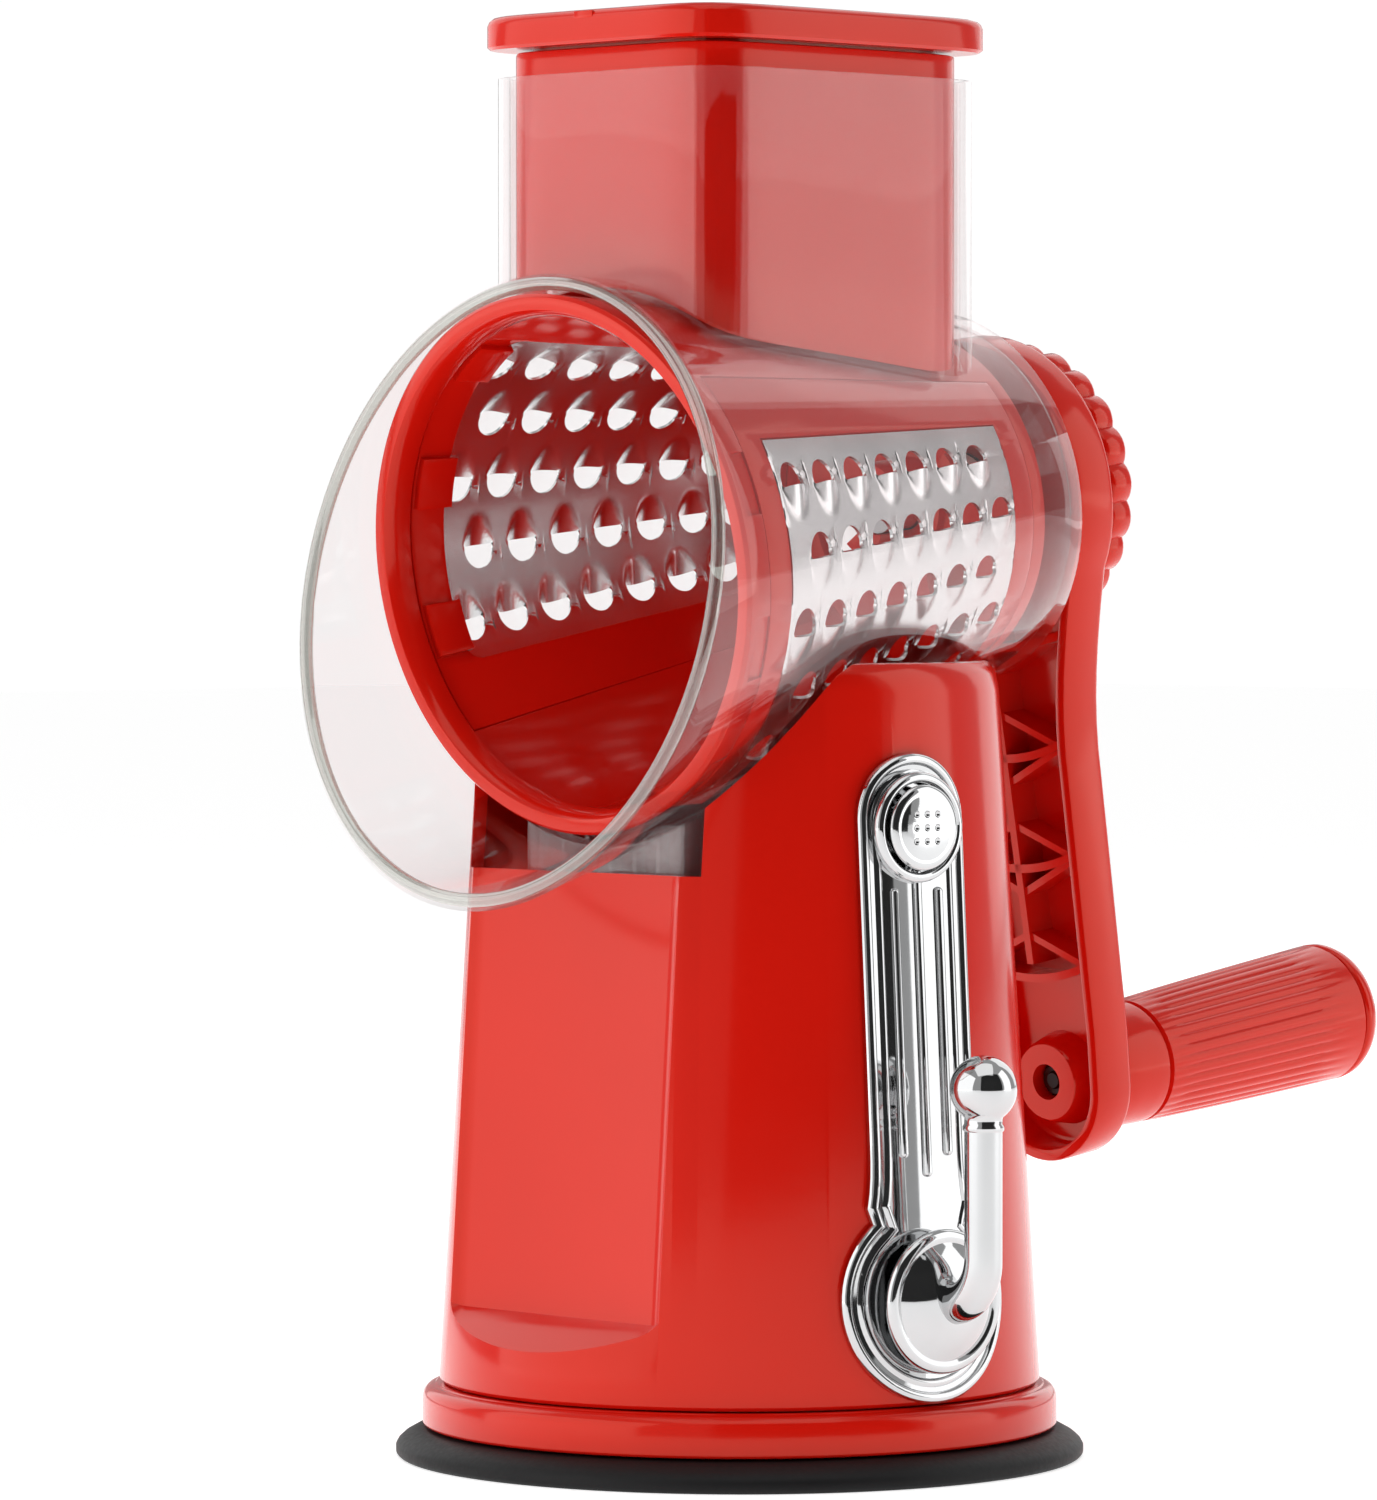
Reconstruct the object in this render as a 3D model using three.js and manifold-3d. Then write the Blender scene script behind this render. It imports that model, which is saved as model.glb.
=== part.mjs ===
// Rotary cheese grater: a red column on a suction base carries a clear housing, a turning
// grater drum with a crank, a hopper with a pusher, and a chrome side plate with the suction
// lever and the release button. Millimetres, +Z up, mouth towards -Y, crank towards +Y.
import * as THREE from 'three';
import Module from 'manifold-3d';
import { mergeVertices } from 'three/addons/utils/BufferGeometryUtils.js';

const wasm = await Module();
wasm.setup();

// ---- fits ---------------------------------------------------------------------------------
const gap = 0.3; // between pieces that touch or nest
const slideGap = 0.6; // round pieces that slide or turn past a wall
const eps = 0.5; // how far a cutting tool runs past the face that it cuts

// ---- base and column ----------------------------------------------------------------------
const padHeight = 6;
const padPocketRadius = 17;
const padPocketDepth = 3.2;
const flangeHeight = 8.8;
const flangeWidth = 10;
const columnBaseRadius = 62;
const flangeStep = 3.5; // the flange stands this far out from the column
const padStep = 5.5; // and the pad this far out from the flange
const flangeRadius = columnBaseRadius + flangeStep;
const padRadius = flangeRadius + padStep;
const columnTaper = 0.06; // radius lost per millimetre of height
const columnWall = 2.8;
const columnHeight = 149;
const ledgeHeight = 121.5; // top of the low front wall
const panelHalfWidth = 34;
const panelDepth = 10.4; // of the front panel, behind the column's front line
const panelFootY = -(columnBaseRadius - panelDepth);
const panelFootZ = 32;
const panelLean = 0.066; // towards the column's axis per millimetre of height
const panelFootSlope = 0.66; // how steeply the foot of the panel falls outwards
const floorThickness = 3;
const floorRise = 4.6; // the floor's middle is raised, so that the stem's foot can lift
const floorRiseRadius = 32;
const screwRadius = 2;
const screwHeadRadius = 3.6;
const screwHeadHeight = 1.6;
const screwInset = 8.6; // between the column's wall and the screw bosses
const screwLength = 14;
const bossRadius = 4.6;
const screwCircle = columnBaseRadius - columnWall - bossRadius - screwInset;
const bossWeb = 2.4;

// ---- barrel, hopper and pusher ------------------------------------------------------------
const cradleZ = 139.703; // underside of the barrel, on the column's axis
const barrelTilt = THREE.MathUtils.degToRad(7.28); // mouth down, crank up
const barrelRearRadius = 39.3;
const barrelCone = 0.176; // radius gained per millimetre towards the mouth
const barrelRearS = 62.2;
const barrelWall = 2.4;
const barrelEndWall = 3;
const mouthTopS = -48.6;
const mouthSlope = 0.302; // the mouth's lower edge reaches further forwards
const hopperHalfX = 34.7;
const hopperHalfY = 41.4;
const hopperWall = 2.2;
const hopperTopZ = 288.6;
const hopperLipHeight = 4.2;
const hopperLipOut = 1.6;
const hopperCentreY = -1.2;
const loafPower = 7; // squareness of the hopper's bowed outline
const pusherGap = 0.7;
const pusherWall = 2.2;
const pusherFloor = 3;
const capHeight = 6.8;
const capOverhang = 1.9;
const capPlugDepth = 5;
const footInset = 38; // the foot's sides, in from the column's widest
const footHalfX = columnBaseRadius - footInset;
const footLength = 63;
const footBottomZ = 108;
const footWall = 2.6;
const socketWall = 2.6;
const deckBelowFoot = 4;
const deckThickness = 3;

// ---- drum and crank, s along the barrel's axis -------------------------------------------
const drumGap = 2; // between the drum and the barrel's wall
const drumWall = 2.4;
const drumFrontS = -52;
const drumRearS = barrelRearS - barrelEndWall - 5.2;
const drumRingLength = 7;
const drumRearLength = 5;
const drumBridgeAngle = THREE.MathUtils.degToRad(28); // half of each long bridge
const windowHalfAngle = THREE.MathUtils.degToRad(45);
const drumTurn = THREE.MathUtils.degToRad(18.5); // where the drum stands when the crank hangs down
const windowFrontS = -37.5;
const windowRearS = 42;
const plateThickness = 1;
const holeAlong = 10.7;
const holeAround = THREE.MathUtils.degToRad(16.5);
const holeHalfLength = 3.7;
const holeHalfWidth = 2.3;
const holesPerRow = 7;
const holeRows = 5;
const tabCount = 3;
const shaftRadius = 5;
const bushRadius = 9;
const bushLength = 8;
const crankFrontS = barrelRearS + 5.4;
const crankHubRadius = 32.8;
const crankDepth = 11.4;
const crankWeb = 3;
const crankRim = 2.6;
const crankLength = 128.4;
const crankEndRadius = 17;
const crankLean = 7; // the arm's foot stands this much further back than its hub
const crankRib = 1.8;
const crankPinBoss = 9;
const knobRadius = 30;
const knobHeight = 8;
const knobLobes = 22;
const knobLobeDepth = 1.1;
const gripPinRadius = 3.5;
const gripPinHeadRadius = 6;
const gripStartRadius = 12;
const gripEndRadius = 15.4;
const gripLength = 84;
const gripCapLength = 6;

// ---- side plate, lever and button ---------------------------------------------------------
const sideAngle = THREE.MathUtils.degToRad(-6); // where the side plate sits round the column
const plateSkin = 2;
const stripHalfWidth = 13.3;
const stripTopZ = 132.6;
const bulbRadius = 20.6;
const leverZ = 36.4;
const leverHubRadius = 14.6;
const leverHubHeight = 6;
const leverReach = 14; // from the plate's face out to the arm's centreline
const leverArmRadius = 3.8;
const leverBendRadius = 9;
const leverBallRadius = 6.8;
const leverBallZ = 79.6;
const camShaftRadius = 4;
const camRadius = 6;
const camThrow = 4.8;
const camWidth = 8;
const camInnerX = 4; // half of the cam's length along its shaft
const stemRadius = 5;
const stemFootRadius = 15;
const stemFootHeight = 2.4;
const yokeThickness = 2.6;
const clipRadius = 8.4;
const clipThickness = 1.6;
const yokeHalfWidth = 14;
const buttonZ = 131;
const buttonRadius = 8.6;
const buttonProud = 3.2;
const buttonTravel = 3;
const buttonStemRadius = 3;
const latchHeadHalf = 8;
const latchHeadDepth = 4;
const latchShift = 1; // room for the side plate's angle round the column
const latchSlotHalf = 6.6;
const springWire = 0.4;

// ---- colours -------------------------------------------------------------------------------
const red = new THREE.MeshStandardMaterial({ color: 0xd3261b, roughness: 0.18, metalness: 0 });
const clear = new THREE.MeshStandardMaterial({ color: 0xe8e2e2, roughness: 0.05, metalness: 0,
  transparent: true, opacity: 0.35 });
const chrome = new THREE.MeshStandardMaterial({ color: 0xdcdcdc, roughness: 0.05, metalness: 1 });
const steel = new THREE.MeshStandardMaterial({ color: 0xbfc1c4, roughness: 0.25, metalness: 1 });
const rubber = new THREE.MeshStandardMaterial({ color: 0x1c1c1e, roughness: 0.6, metalness: 0 });
const nylon = new THREE.MeshStandardMaterial({ color: 0xe9e7df, roughness: 0.4, metalness: 0 });

// ---- helpers -------------------------------------------------------------------------------
function signedVolume(position, index) {
  const a = new THREE.Vector3();
  const b = new THREE.Vector3();
  const c = new THREE.Vector3();
  let sum = 0;
  for (let i = 0; i < index.length; i += 3) {
    a.fromBufferAttribute(position, index[i]);
    b.fromBufferAttribute(position, index[i + 1]);
    c.fromBufferAttribute(position, index[i + 2]);
    sum += a.dot(b.cross(c));
  }
  return sum;
}

// A closed three.js geometry as a solid that can be cut and joined.
function solid(geometry, matrix = new THREE.Matrix4()) {
  const plain = new THREE.BufferGeometry();
  plain.setAttribute('position', geometry.getAttribute('position').clone());
  if (geometry.index) {
    plain.setIndex(geometry.index.clone());
  }
  plain.applyMatrix4(matrix);
  const merged = mergeVertices(plain, 1e-4);
  const index = [];
  for (let i = 0; i < merged.index.count; i += 3) {
    const [a, b, c] = [0, 1, 2].map((k) => merged.index.getX(i + k));
    if (a !== b && b !== c && c !== a) {
      index.push(a, b, c);
    }
  }
  if (signedVolume(merged.attributes.position, index) < 0) {
    index.reverse();
  }
  return new wasm.Manifold(new wasm.Mesh({
    numProp: 3,
    vertProperties: new Float32Array(merged.attributes.position.array),
    triVerts: new Uint32Array(index),
  }));
}

function geometryOf(body) {
  const out = body.getMesh();
  const geometry = new THREE.BufferGeometry();
  geometry.setAttribute('position', new THREE.BufferAttribute(out.vertProperties, 3));
  geometry.setIndex(new THREE.BufferAttribute(out.triVerts, 1));
  geometry.computeVertexNormals();
  return geometry;
}

function add(group, name, body, material) {
  const mesh = new THREE.Mesh(geometryOf(body), material);
  mesh.name = name;
  group.add(mesh);
  return mesh;
}

const move = (x, y, z) => new THREE.Matrix4().makeTranslation(x, y, z);
const turnX = (angle) => new THREE.Matrix4().makeRotationX(angle);
const turnY = (angle) => new THREE.Matrix4().makeRotationY(angle);
const turnZ = (angle) => new THREE.Matrix4().makeRotationZ(angle);
const joined = (...bodies) => bodies.reduce((sum, body) => sum.add(body));

// Turned solids: points are [radius, distance along the axis].
function turnedY(points, segments = 48) {
  const profile = points.map(([r, h]) => new THREE.Vector2(r, h));
  return solid(new THREE.LatheGeometry([...profile, profile[0]], segments));
}
const turnedZ = (points, segments = 48) => turnedY(points, segments).transform(
  turnX(Math.PI / 2).elements);
const turnedX = (points, segments = 48) => turnedY(points, segments).transform(
  turnZ(-Math.PI / 2).elements);

function rodY(radius, from, to, segments = 32) {
  return turnedY([[0, from], [radius, from], [radius, to], [0, to]], segments);
}
const rodZ = (radius, from, to, segments = 32) => rodY(radius, from, to, segments).transform(
  turnX(Math.PI / 2).elements);
const rodX = (radius, from, to, segments = 32) => rodY(radius, from, to, segments).transform(
  turnZ(-Math.PI / 2).elements);

function block(x0, x1, y0, y1, z0, z1) {
  const box = new THREE.BoxGeometry(x1 - x0, y1 - y0, z1 - z0);
  return solid(box, move((x0 + x1) / 2, (y0 + y1) / 2, (z0 + z1) / 2));
}

// An outline drawn in x and y, raised along z.
function raised(shape, from, to, curveSegments = 8) {
  const options = { depth: to - from, bevelEnabled: false, curveSegments };
  return solid(new THREE.ExtrudeGeometry(shape, options), move(0, 0, from));
}

// The hopper's and pusher's outline: a rectangle with bowed sides and round corners.
function loaf(halfX, halfY, steps = 40) {
  const points = [];
  for (let i = 0; i < steps; i += 1) {
    const turn = (i / steps) * 2 * Math.PI;
    const c = Math.cos(turn);
    const s = Math.sin(turn);
    const reach = (Math.abs(c) ** loafPower + Math.abs(s) ** loafPower) ** (-1 / loafPower);
    points.push(new THREE.Vector2(halfX * c * reach, halfY * s * reach + hopperCentreY));
  }
  return new THREE.Shape(points);
}

function spring(radius, turns, from, to) {
  const path = new THREE.Curve();
  path.getPoint = (t) => new THREE.Vector3(radius * Math.cos(turns * 2 * Math.PI * t),
    radius * Math.sin(turns * 2 * Math.PI * t), from + (to - from) * t);
  const wire = new THREE.Shape();
  wire.absarc(0, 0, springWire, 0, 2 * Math.PI);
  return solid(new THREE.ExtrudeGeometry(wire, { steps: turns * 10,
    extrudePath: path, curveSegments: 3, bevelEnabled: false }));
}

const columnRadius = (z) => columnBaseRadius - columnTaper * (z - columnFootZ);
const barrelRadius = (s) => barrelRearRadius + barrelCone * (barrelRearS - s);
const barrelZ = cradleZ + barrelRadius(0); // where the barrel's axis crosses the column's
const drumRadius = (s) => barrelRadius(s) - barrelWall - drumGap;
const toBarrel = move(0, 0, barrelZ).multiply(turnX(barrelTilt));
const toSide = turnZ(sideAngle);
const columnFootZ = padHeight + gap + flangeHeight + gap;
const columnTopZ = columnFootZ + columnHeight;
const panelY = (z) => panelFootY + panelLean * (z - panelFootZ);
const footFrontY = panelY(ledgeHeight) + columnWall + socketWall + 2 * slideGap;
const footBackY = footFrontY + footLength;

// A cone between two stations on the barrel's axis, growing towards the mouth.
function coneAlong(radiusAt, from, to, grow = 0, segments = 48) {
  return turnedY([[0, from], [radiusAt(from) + grow, from], [radiusAt(to) + grow, to], [0, to]],
    segments);
}

// ---- base -----------------------------------------------------------------------------------
function suctionPad() {
  return turnedZ([[0, 0], [padRadius, 0], [padRadius, padHeight * 0.4],
    [padRadius - 1.4, padHeight * 0.72], [flangeRadius, padHeight],
    [padPocketRadius, padHeight], [padPocketRadius, padHeight - padPocketDepth],
    [0, padHeight - padPocketDepth]], 48);
}

function baseFlange() {
  const z0 = padHeight + gap;
  const z1 = z0 + flangeHeight;
  const inner = flangeRadius - flangeWidth;
  return turnedZ([[inner, z0], [flangeRadius, z0], [flangeRadius, z1 - 1.4],
    [flangeRadius - 1.2, z1], [inner, z1]], 48);
}

const screwPlaces = [45, 135, 225, 315].map((deg) => {
  const turn = THREE.MathUtils.degToRad(deg);
  return [screwCircle * Math.cos(turn), screwCircle * Math.sin(turn)];
});
const floorZ = padHeight + gap;
const stemFloorZ = floorZ + floorRise + floorThickness;

function basePlate() {
  const rim = flangeRadius - flangeWidth - gap;
  const topZ = floorZ + flangeHeight;
  const innerZ = floorZ + floorThickness;
  const underRise = floorRiseRadius - floorThickness;
  let plate = turnedZ([[0, floorZ + floorRise], [underRise, floorZ + floorRise],
    [underRise, floorZ], [rim, floorZ], [rim, topZ], [rim - floorThickness, topZ],
    [rim - floorThickness, innerZ], [floorRiseRadius, innerZ], [floorRiseRadius, stemFloorZ],
    [0, stemFloorZ]], 48);
  plate = plate.subtract(rodZ(stemRadius + slideGap, floorZ - eps, stemFloorZ + eps, 24));
  for (const [x, y] of screwPlaces) {
    const hole = rodZ(screwRadius + gap, floorZ - eps, innerZ + eps, 12);
    const sink = rodZ(screwHeadRadius + gap, floorZ - eps, floorZ + screwHeadHeight, 16);
    plate = plate.subtract(joined(hole, sink).translate([x, y, 0]));
  }
  return plate;
}

function baseScrew([x, y]) {
  const head = rodZ(screwHeadRadius, floorZ, floorZ + screwHeadHeight - gap, 16);
  const shank = rodZ(screwRadius, floorZ, floorZ + screwLength, 12);
  return joined(head, shank).translate([x, y, 0]);
}

// ---- column ----------------------------------------------------------------------------------

// What is cut away in front of the flat front panel, moved back by inset to give its wall.
function panelTool(inset) {
  const far = -columnBaseRadius - 20;
  const drop = (panelY(panelFootZ) + inset - far) * panelFootSlope;
  const profile = new THREE.Shape([
    new THREE.Vector2(panelY(panelFootZ) + inset, panelFootZ - inset * panelFootSlope),
    new THREE.Vector2(panelY(columnTopZ) + inset, columnTopZ),
    new THREE.Vector2(far, columnTopZ),
    new THREE.Vector2(far, panelFootZ - inset * panelFootSlope - drop),
  ]);
  const half = panelHalfWidth + inset;
  const wedge = raised(profile, -half, half);
  // drawn in (y, z) and raised along x
  const basis = new THREE.Matrix4().makeBasis(new THREE.Vector3(0, 1, 0),
    new THREE.Vector3(0, 0, 1), new THREE.Vector3(1, 0, 0));
  return wedge.transform(basis.elements);
}

function columnShell() {
  const top = columnTopZ;
  const outer = turnedZ([[0, columnFootZ], [columnRadius(columnFootZ), columnFootZ],
    [columnRadius(top), top], [0, top]], 60);
  const inner = turnedZ([[0, columnFootZ - eps],
    [columnRadius(columnFootZ - eps) - columnWall, columnFootZ - eps],
    [columnRadius(top + eps) - columnWall, top + eps], [0, top + eps]], 60);
  const backing = outer.intersect(panelTool(columnWall));
  let shell = joined(outer.subtract(inner), backing).subtract(panelTool(0));
  const bossTop = columnFootZ + screwLength;
  const bosses = screwPlaces.map(([x, y]) => {
    const boss = rodZ(bossRadius, columnFootZ, bossTop, 16);
    const web = block(0, columnBaseRadius, -bossWeb / 2, bossWeb / 2, columnFootZ, bossTop);
    const bore = rodZ(screwRadius + gap, columnFootZ - eps, bossTop - 2, 12);
    const place = move(x, y, 0).multiply(turnZ(Math.atan2(y, x)));
    return joined(boss, web).subtract(bore).transform(place.elements);
  });
  const room = outer.subtract(panelTool(0));
  shell = joined(shell, ...bosses.map((boss) => boss.intersect(room)));
  const cradle = coneAlong(barrelRadius, mouthTopS - 60, barrelRearS + 30, gap * 2);
  shell = shell.subtract(cradle.transform(toBarrel.elements));
  shell = shell.subtract(block(-panelHalfWidth, panelHalfWidth, -columnBaseRadius - 9, -20,
    ledgeHeight, top + 20));
  const shaftHole = rodX(camShaftRadius + 3 + gap, 30, columnBaseRadius + 9, 24);
  const buttonHole = rodX(buttonStemRadius + slideGap, 30, columnBaseRadius + 9, 24);
  shell = shell.subtract(shaftHole.translate([0, 0, leverZ]).transform(toSide.elements));
  return shell.subtract(buttonHole.translate([0, 0, buttonZ]).transform(toSide.elements));
}

// The deck closes the column and has the socket that the housing's foot drops into.
const deckZ = footBottomZ - deckBelowFoot;
function socketFrame() {
  const rim = columnRadius(deckZ);
  const deck = turnedZ([[0, deckZ - deckThickness], [rim, deckZ - deckThickness], [rim, deckZ],
    [0, deckZ]], 60);
  const wallTop = ledgeHeight - 2;
  const outer = block(-footHalfX - slideGap - socketWall, footHalfX + slideGap + socketWall,
    footFrontY - slideGap - socketWall, footBackY + slideGap + socketWall, deckZ - 2, wallTop);
  const inner = block(-footHalfX - slideGap, footHalfX + slideGap,
    footFrontY - slideGap, footBackY + slideGap, deckZ, wallTop + eps);
  const cradle = coneAlong(barrelRadius, mouthTopS - 60, barrelRearS + 30, slideGap);
  const roomIn = (z) => columnRadius(z) - columnWall - slideGap;
  const room = turnedZ([[0, columnFootZ], [roomIn(columnFootZ), columnFootZ],
    [roomIn(columnTopZ), columnTopZ], [0, columnTopZ]], 60);
  return joined(deck, outer).intersect(room).subtract(inner).subtract(
    panelTool(columnWall + slideGap)).subtract(cradle.transform(toBarrel.elements));
}

// ---- suction mechanism -----------------------------------------------------------------------
const yokeBottomZ = leverZ - camShaftRadius - camThrow - 2.6;
const yokeWindowTop = leverZ + camRadius + 1.3;
function pullStem() {
  const footZ = padHeight - padPocketDepth + gap;
  const foot = rodZ(stemFootRadius, footZ, footZ + stemFootHeight, 40);
  const stem = rodZ(stemRadius, footZ, yokeBottomZ, 24);
  const yoke = block(-camInnerX + 0.6, camInnerX - 0.6, -yokeHalfWidth, yokeHalfWidth,
    yokeBottomZ - yokeThickness, yokeWindowTop + yokeThickness);
  const windowHalf = camRadius + camThrow + 0.6;
  const opening = block(-camWidth, camWidth, -windowHalf, windowHalf, yokeBottomZ + 1,
    yokeWindowTop);
  return joined(foot, stem, yoke).subtract(opening);
}

// A clip ring on the stem stops it from dropping through the base plate.
function stemClip() {
  const z0 = stemFloorZ + gap;
  const inner = stemRadius + gap / 2;
  return turnedZ([[inner, z0], [clipRadius, z0], [clipRadius, z0 + clipThickness],
    [inner, z0 + clipThickness]], 24);
}

const camShaftEnd = -14;
function camPiece() {
  const disc = rodX(camRadius, -camInnerX, camInnerX, 32).translate([0, camThrow, 0]);
  return disc.subtract(rodX(camShaftRadius + gap, -camWidth, camWidth, 24)).translate(
    [0, 0, leverZ]);
}

// Only the shaft's end is seen, under the hub.
const plateFaceX = columnRadius(leverZ - leverHubRadius) + gap + plateSkin;
function camShaft() {
  return rodX(camShaftRadius, camShaftEnd, plateFaceX + gap, 24).translate([0, 0, leverZ]);
}

function shaftBush() {
  const from = columnRadius(leverZ) - columnWall - 6;
  const to = columnRadius(leverZ) - 1;
  return turnedX([[camShaftRadius + gap, from], [camShaftRadius + 3, from],
    [camShaftRadius + 3, to], [camShaftRadius + gap, to]], 32).translate([0, 0, leverZ]);
}

function shaftBracket() {
  const post = block(camShaftEnd - 1, camShaftEnd + 3, -7, 7, stemFloorZ + gap, leverZ + 9);
  const foot = block(camShaftEnd - 14, camShaftEnd + 3, -12, 12, stemFloorZ + gap,
    stemFloorZ + gap + 3);
  const bore = rodX(camShaftRadius + gap, camShaftEnd - 9, camShaftEnd + 9, 24);
  return joined(post, foot).subtract(bore.translate([0, 0, leverZ]));
}

// ---- lever -----------------------------------------------------------------------------------
const hubX = plateFaceX + slideGap;
const armX = plateFaceX + leverReach;
function leverHub() {
  const r = leverHubRadius;
  const h = leverHubHeight;
  return turnedX([[0, hubX], [r, hubX], [r, hubX + h * 0.35], [r * 0.86, hubX + h * 0.72],
    [r * 0.5, hubX + h], [0, hubX + h]], 40).translate([0, 0, leverZ]);
}

function leverArm() {
  const path = new THREE.CurvePath();
  const start = new THREE.Vector3(hubX + leverHubHeight + gap, 0, leverZ);
  const turnOut = new THREE.Vector3(armX, 0, leverZ + leverBendRadius);
  const end = new THREE.Vector3(armX, 0, leverBallZ - leverBallRadius + 1);
  path.add(new THREE.QuadraticBezierCurve3(start, new THREE.Vector3(armX, 0, leverZ), turnOut));
  path.add(new THREE.LineCurve3(turnOut, end));
  const section = new THREE.Shape();
  section.absarc(0, 0, leverArmRadius, 0, 2 * Math.PI);
  const rod = solid(new THREE.ExtrudeGeometry(section, { steps: 14, extrudePath: path,
    curveSegments: 6, bevelEnabled: false }));
  const ball = solid(new THREE.SphereGeometry(leverBallRadius, 16, 10));
  return [rod, ball.translate([armX, 0, leverBallZ])];
}

// ---- side plate and button -------------------------------------------------------------------
function keyhole(grow = 0) {
  const half = stripHalfWidth + grow;
  const bulb = bulbRadius + grow;
  const meet = Math.acos(half / bulb);
  const shape = new THREE.Shape();
  shape.absarc(0, stripTopZ, half, 0, Math.PI, false);
  shape.absarc(0, leverZ, bulb, Math.PI - meet, 2 * Math.PI + meet, false);
  return shape;
}

function sidePlate() {
  const toX = new THREE.Matrix4().makeBasis(new THREE.Vector3(0, 1, 0),
    new THREE.Vector3(0, 0, 1), new THREE.Vector3(1, 0, 0));
  const outline = raised(keyhole(), 30, columnBaseRadius + 20, 16).transform(toX.elements);
  const skin = (grow, z0, z1) => turnedZ([[0, z0], [columnRadius(z0) + grow, z0],
    [columnRadius(z1) + grow, z1], [0, z1]], 72);
  const outer = skin(gap + plateSkin, columnFootZ, columnTopZ);
  const inner = skin(gap, columnFootZ - eps, columnTopZ + eps);
  let plate = outline.intersect(outer).subtract(inner);
  plate = plate.subtract(rodX(camShaftRadius + slideGap, 30, 90, 24).translate([0, 0, leverZ]));
  return plate.subtract(rodX(buttonRadius + slideGap, 30, 90, 32).translate([0, 0, buttonZ]));
}

const buttonFaceX = columnRadius(buttonZ) + gap + plateSkin + buttonProud;
const buttonBackX = columnRadius(buttonZ - buttonRadius) + buttonTravel + gap;
function releaseButton() {
  const r = buttonRadius;
  return turnedX([[0, buttonBackX], [r, buttonBackX], [r, buttonFaceX - 1.2],
    [r - 1.4, buttonFaceX], [0, buttonFaceX]], 36).translate([0, 0, buttonZ]);
}

// The latch's head stands inside the foot, one slide gap short of its wall, and its stem
// leaves through the foot's slot, which is open below.
const latchHeadX = footHalfX - footWall - slideGap - latchShift;
function latch() {
  const stem = rodX(buttonStemRadius, latchHeadX - 1, buttonBackX - gap, 20).translate(
    [0, 0, buttonZ]);
  const head = block(latchHeadX - latchHeadDepth, latchHeadX, -latchHeadHalf, latchHeadHalf,
    buttonZ - latchHeadHalf / 2, buttonZ + latchHeadHalf / 2);
  return joined(stem, head);
}

function buttonSpring() {
  const back = columnRadius(buttonZ) + gap + springWire;
  const coil = spring(buttonStemRadius + 2, 2, back, buttonBackX - gap - springWire);
  return coil.transform(turnY(Math.PI / 2).elements).translate([0, 0, buttonZ]);
}

// ---- housing ---------------------------------------------------------------------------------
function mouthTool() {
  const far = 400;
  const half = new THREE.BoxGeometry(far, far, far);
  half.translate(0, -far / 2, 0);
  const place = move(0, mouthTopS, barrelRadius(mouthTopS)).multiply(
    turnX(-Math.atan(mouthSlope)));
  return solid(half, place);
}

function housing() {
  const inBarrel = (body) => body.transform(toBarrel.elements);
  const outerCone = inBarrel(coneAlong(barrelRadius, mouthTopS - 60, barrelRearS, 0, 56));
  const innerCone = inBarrel(coneAlong(barrelRadius, mouthTopS - 70,
    barrelRearS - barrelEndWall, -barrelWall, 56));
  const hopper = raised(loaf(hopperHalfX, hopperHalfY), barrelZ, hopperTopZ);
  const lip = raised(loaf(hopperHalfX + hopperLipOut, hopperHalfY + hopperLipOut),
    hopperTopZ - hopperLipHeight, hopperTopZ);
  const well = raised(loaf(hopperHalfX - hopperWall, hopperHalfY - hopperWall), barrelZ - 3,
    hopperTopZ + eps);
  const foot = block(-footHalfX, footHalfX, footFrontY, footBackY, footBottomZ, barrelZ - 12);
  const footRoom = block(-footHalfX + footWall, footHalfX - footWall, footFrontY + footWall,
    footBackY - footWall, footBottomZ - eps, barrelZ - 7);
  const underCone = inBarrel(coneAlong(barrelRadius, mouthTopS - 60, barrelRearS, -0.4, 56));
  const slot = block(footHalfX - footWall - 1, footHalfX + 1, -latchSlotHalf, latchSlotHalf,
    footBottomZ - eps, buttonZ + buttonStemRadius + 1.4);
  const footShell = foot.subtract(footRoom.subtract(underCone)).subtract(slot);
  const bearing = inBarrel(rodY(bushRadius + 3, barrelRearS - barrelEndWall - 1.1,
    barrelRearS + 3.2, 36));
  const bore = inBarrel(rodY(bushRadius + gap, barrelRearS - 20, barrelRearS + 9, 36));
  let body = joined(outerCone, hopper, lip, footShell);
  body = body.subtract(innerCone).subtract(well).subtract(inBarrel(mouthTool()));
  return joined(body, bearing).subtract(bore);
}

function bearingBush() {
  const s0 = barrelRearS - barrelEndWall - 1;
  const r = shaftRadius + gap;
  return turnedY([[r, s0], [bushRadius, s0], [bushRadius, s0 + bushLength],
    [r, s0 + bushLength]], 36);
}

// ---- pusher ----------------------------------------------------------------------------------
const pusherHalfX = hopperHalfX - hopperWall - pusherGap;
const pusherHalfY = hopperHalfY - hopperWall - pusherGap;
function pusherShell() {
  const outer = raised(loaf(pusherHalfX, pusherHalfY), barrelZ, hopperTopZ);
  const inner = raised(loaf(pusherHalfX - pusherWall, pusherHalfY - pusherWall), barrelZ,
    hopperTopZ + eps);
  const over = (grow) => coneAlong(barrelRadius, mouthTopS - 60, barrelRearS + 30, grow).transform(
    toBarrel.elements);
  const bottom = -barrelWall + 0.4;
  return outer.subtract(over(bottom)).subtract(inner.subtract(over(bottom + pusherFloor)));
}

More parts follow.
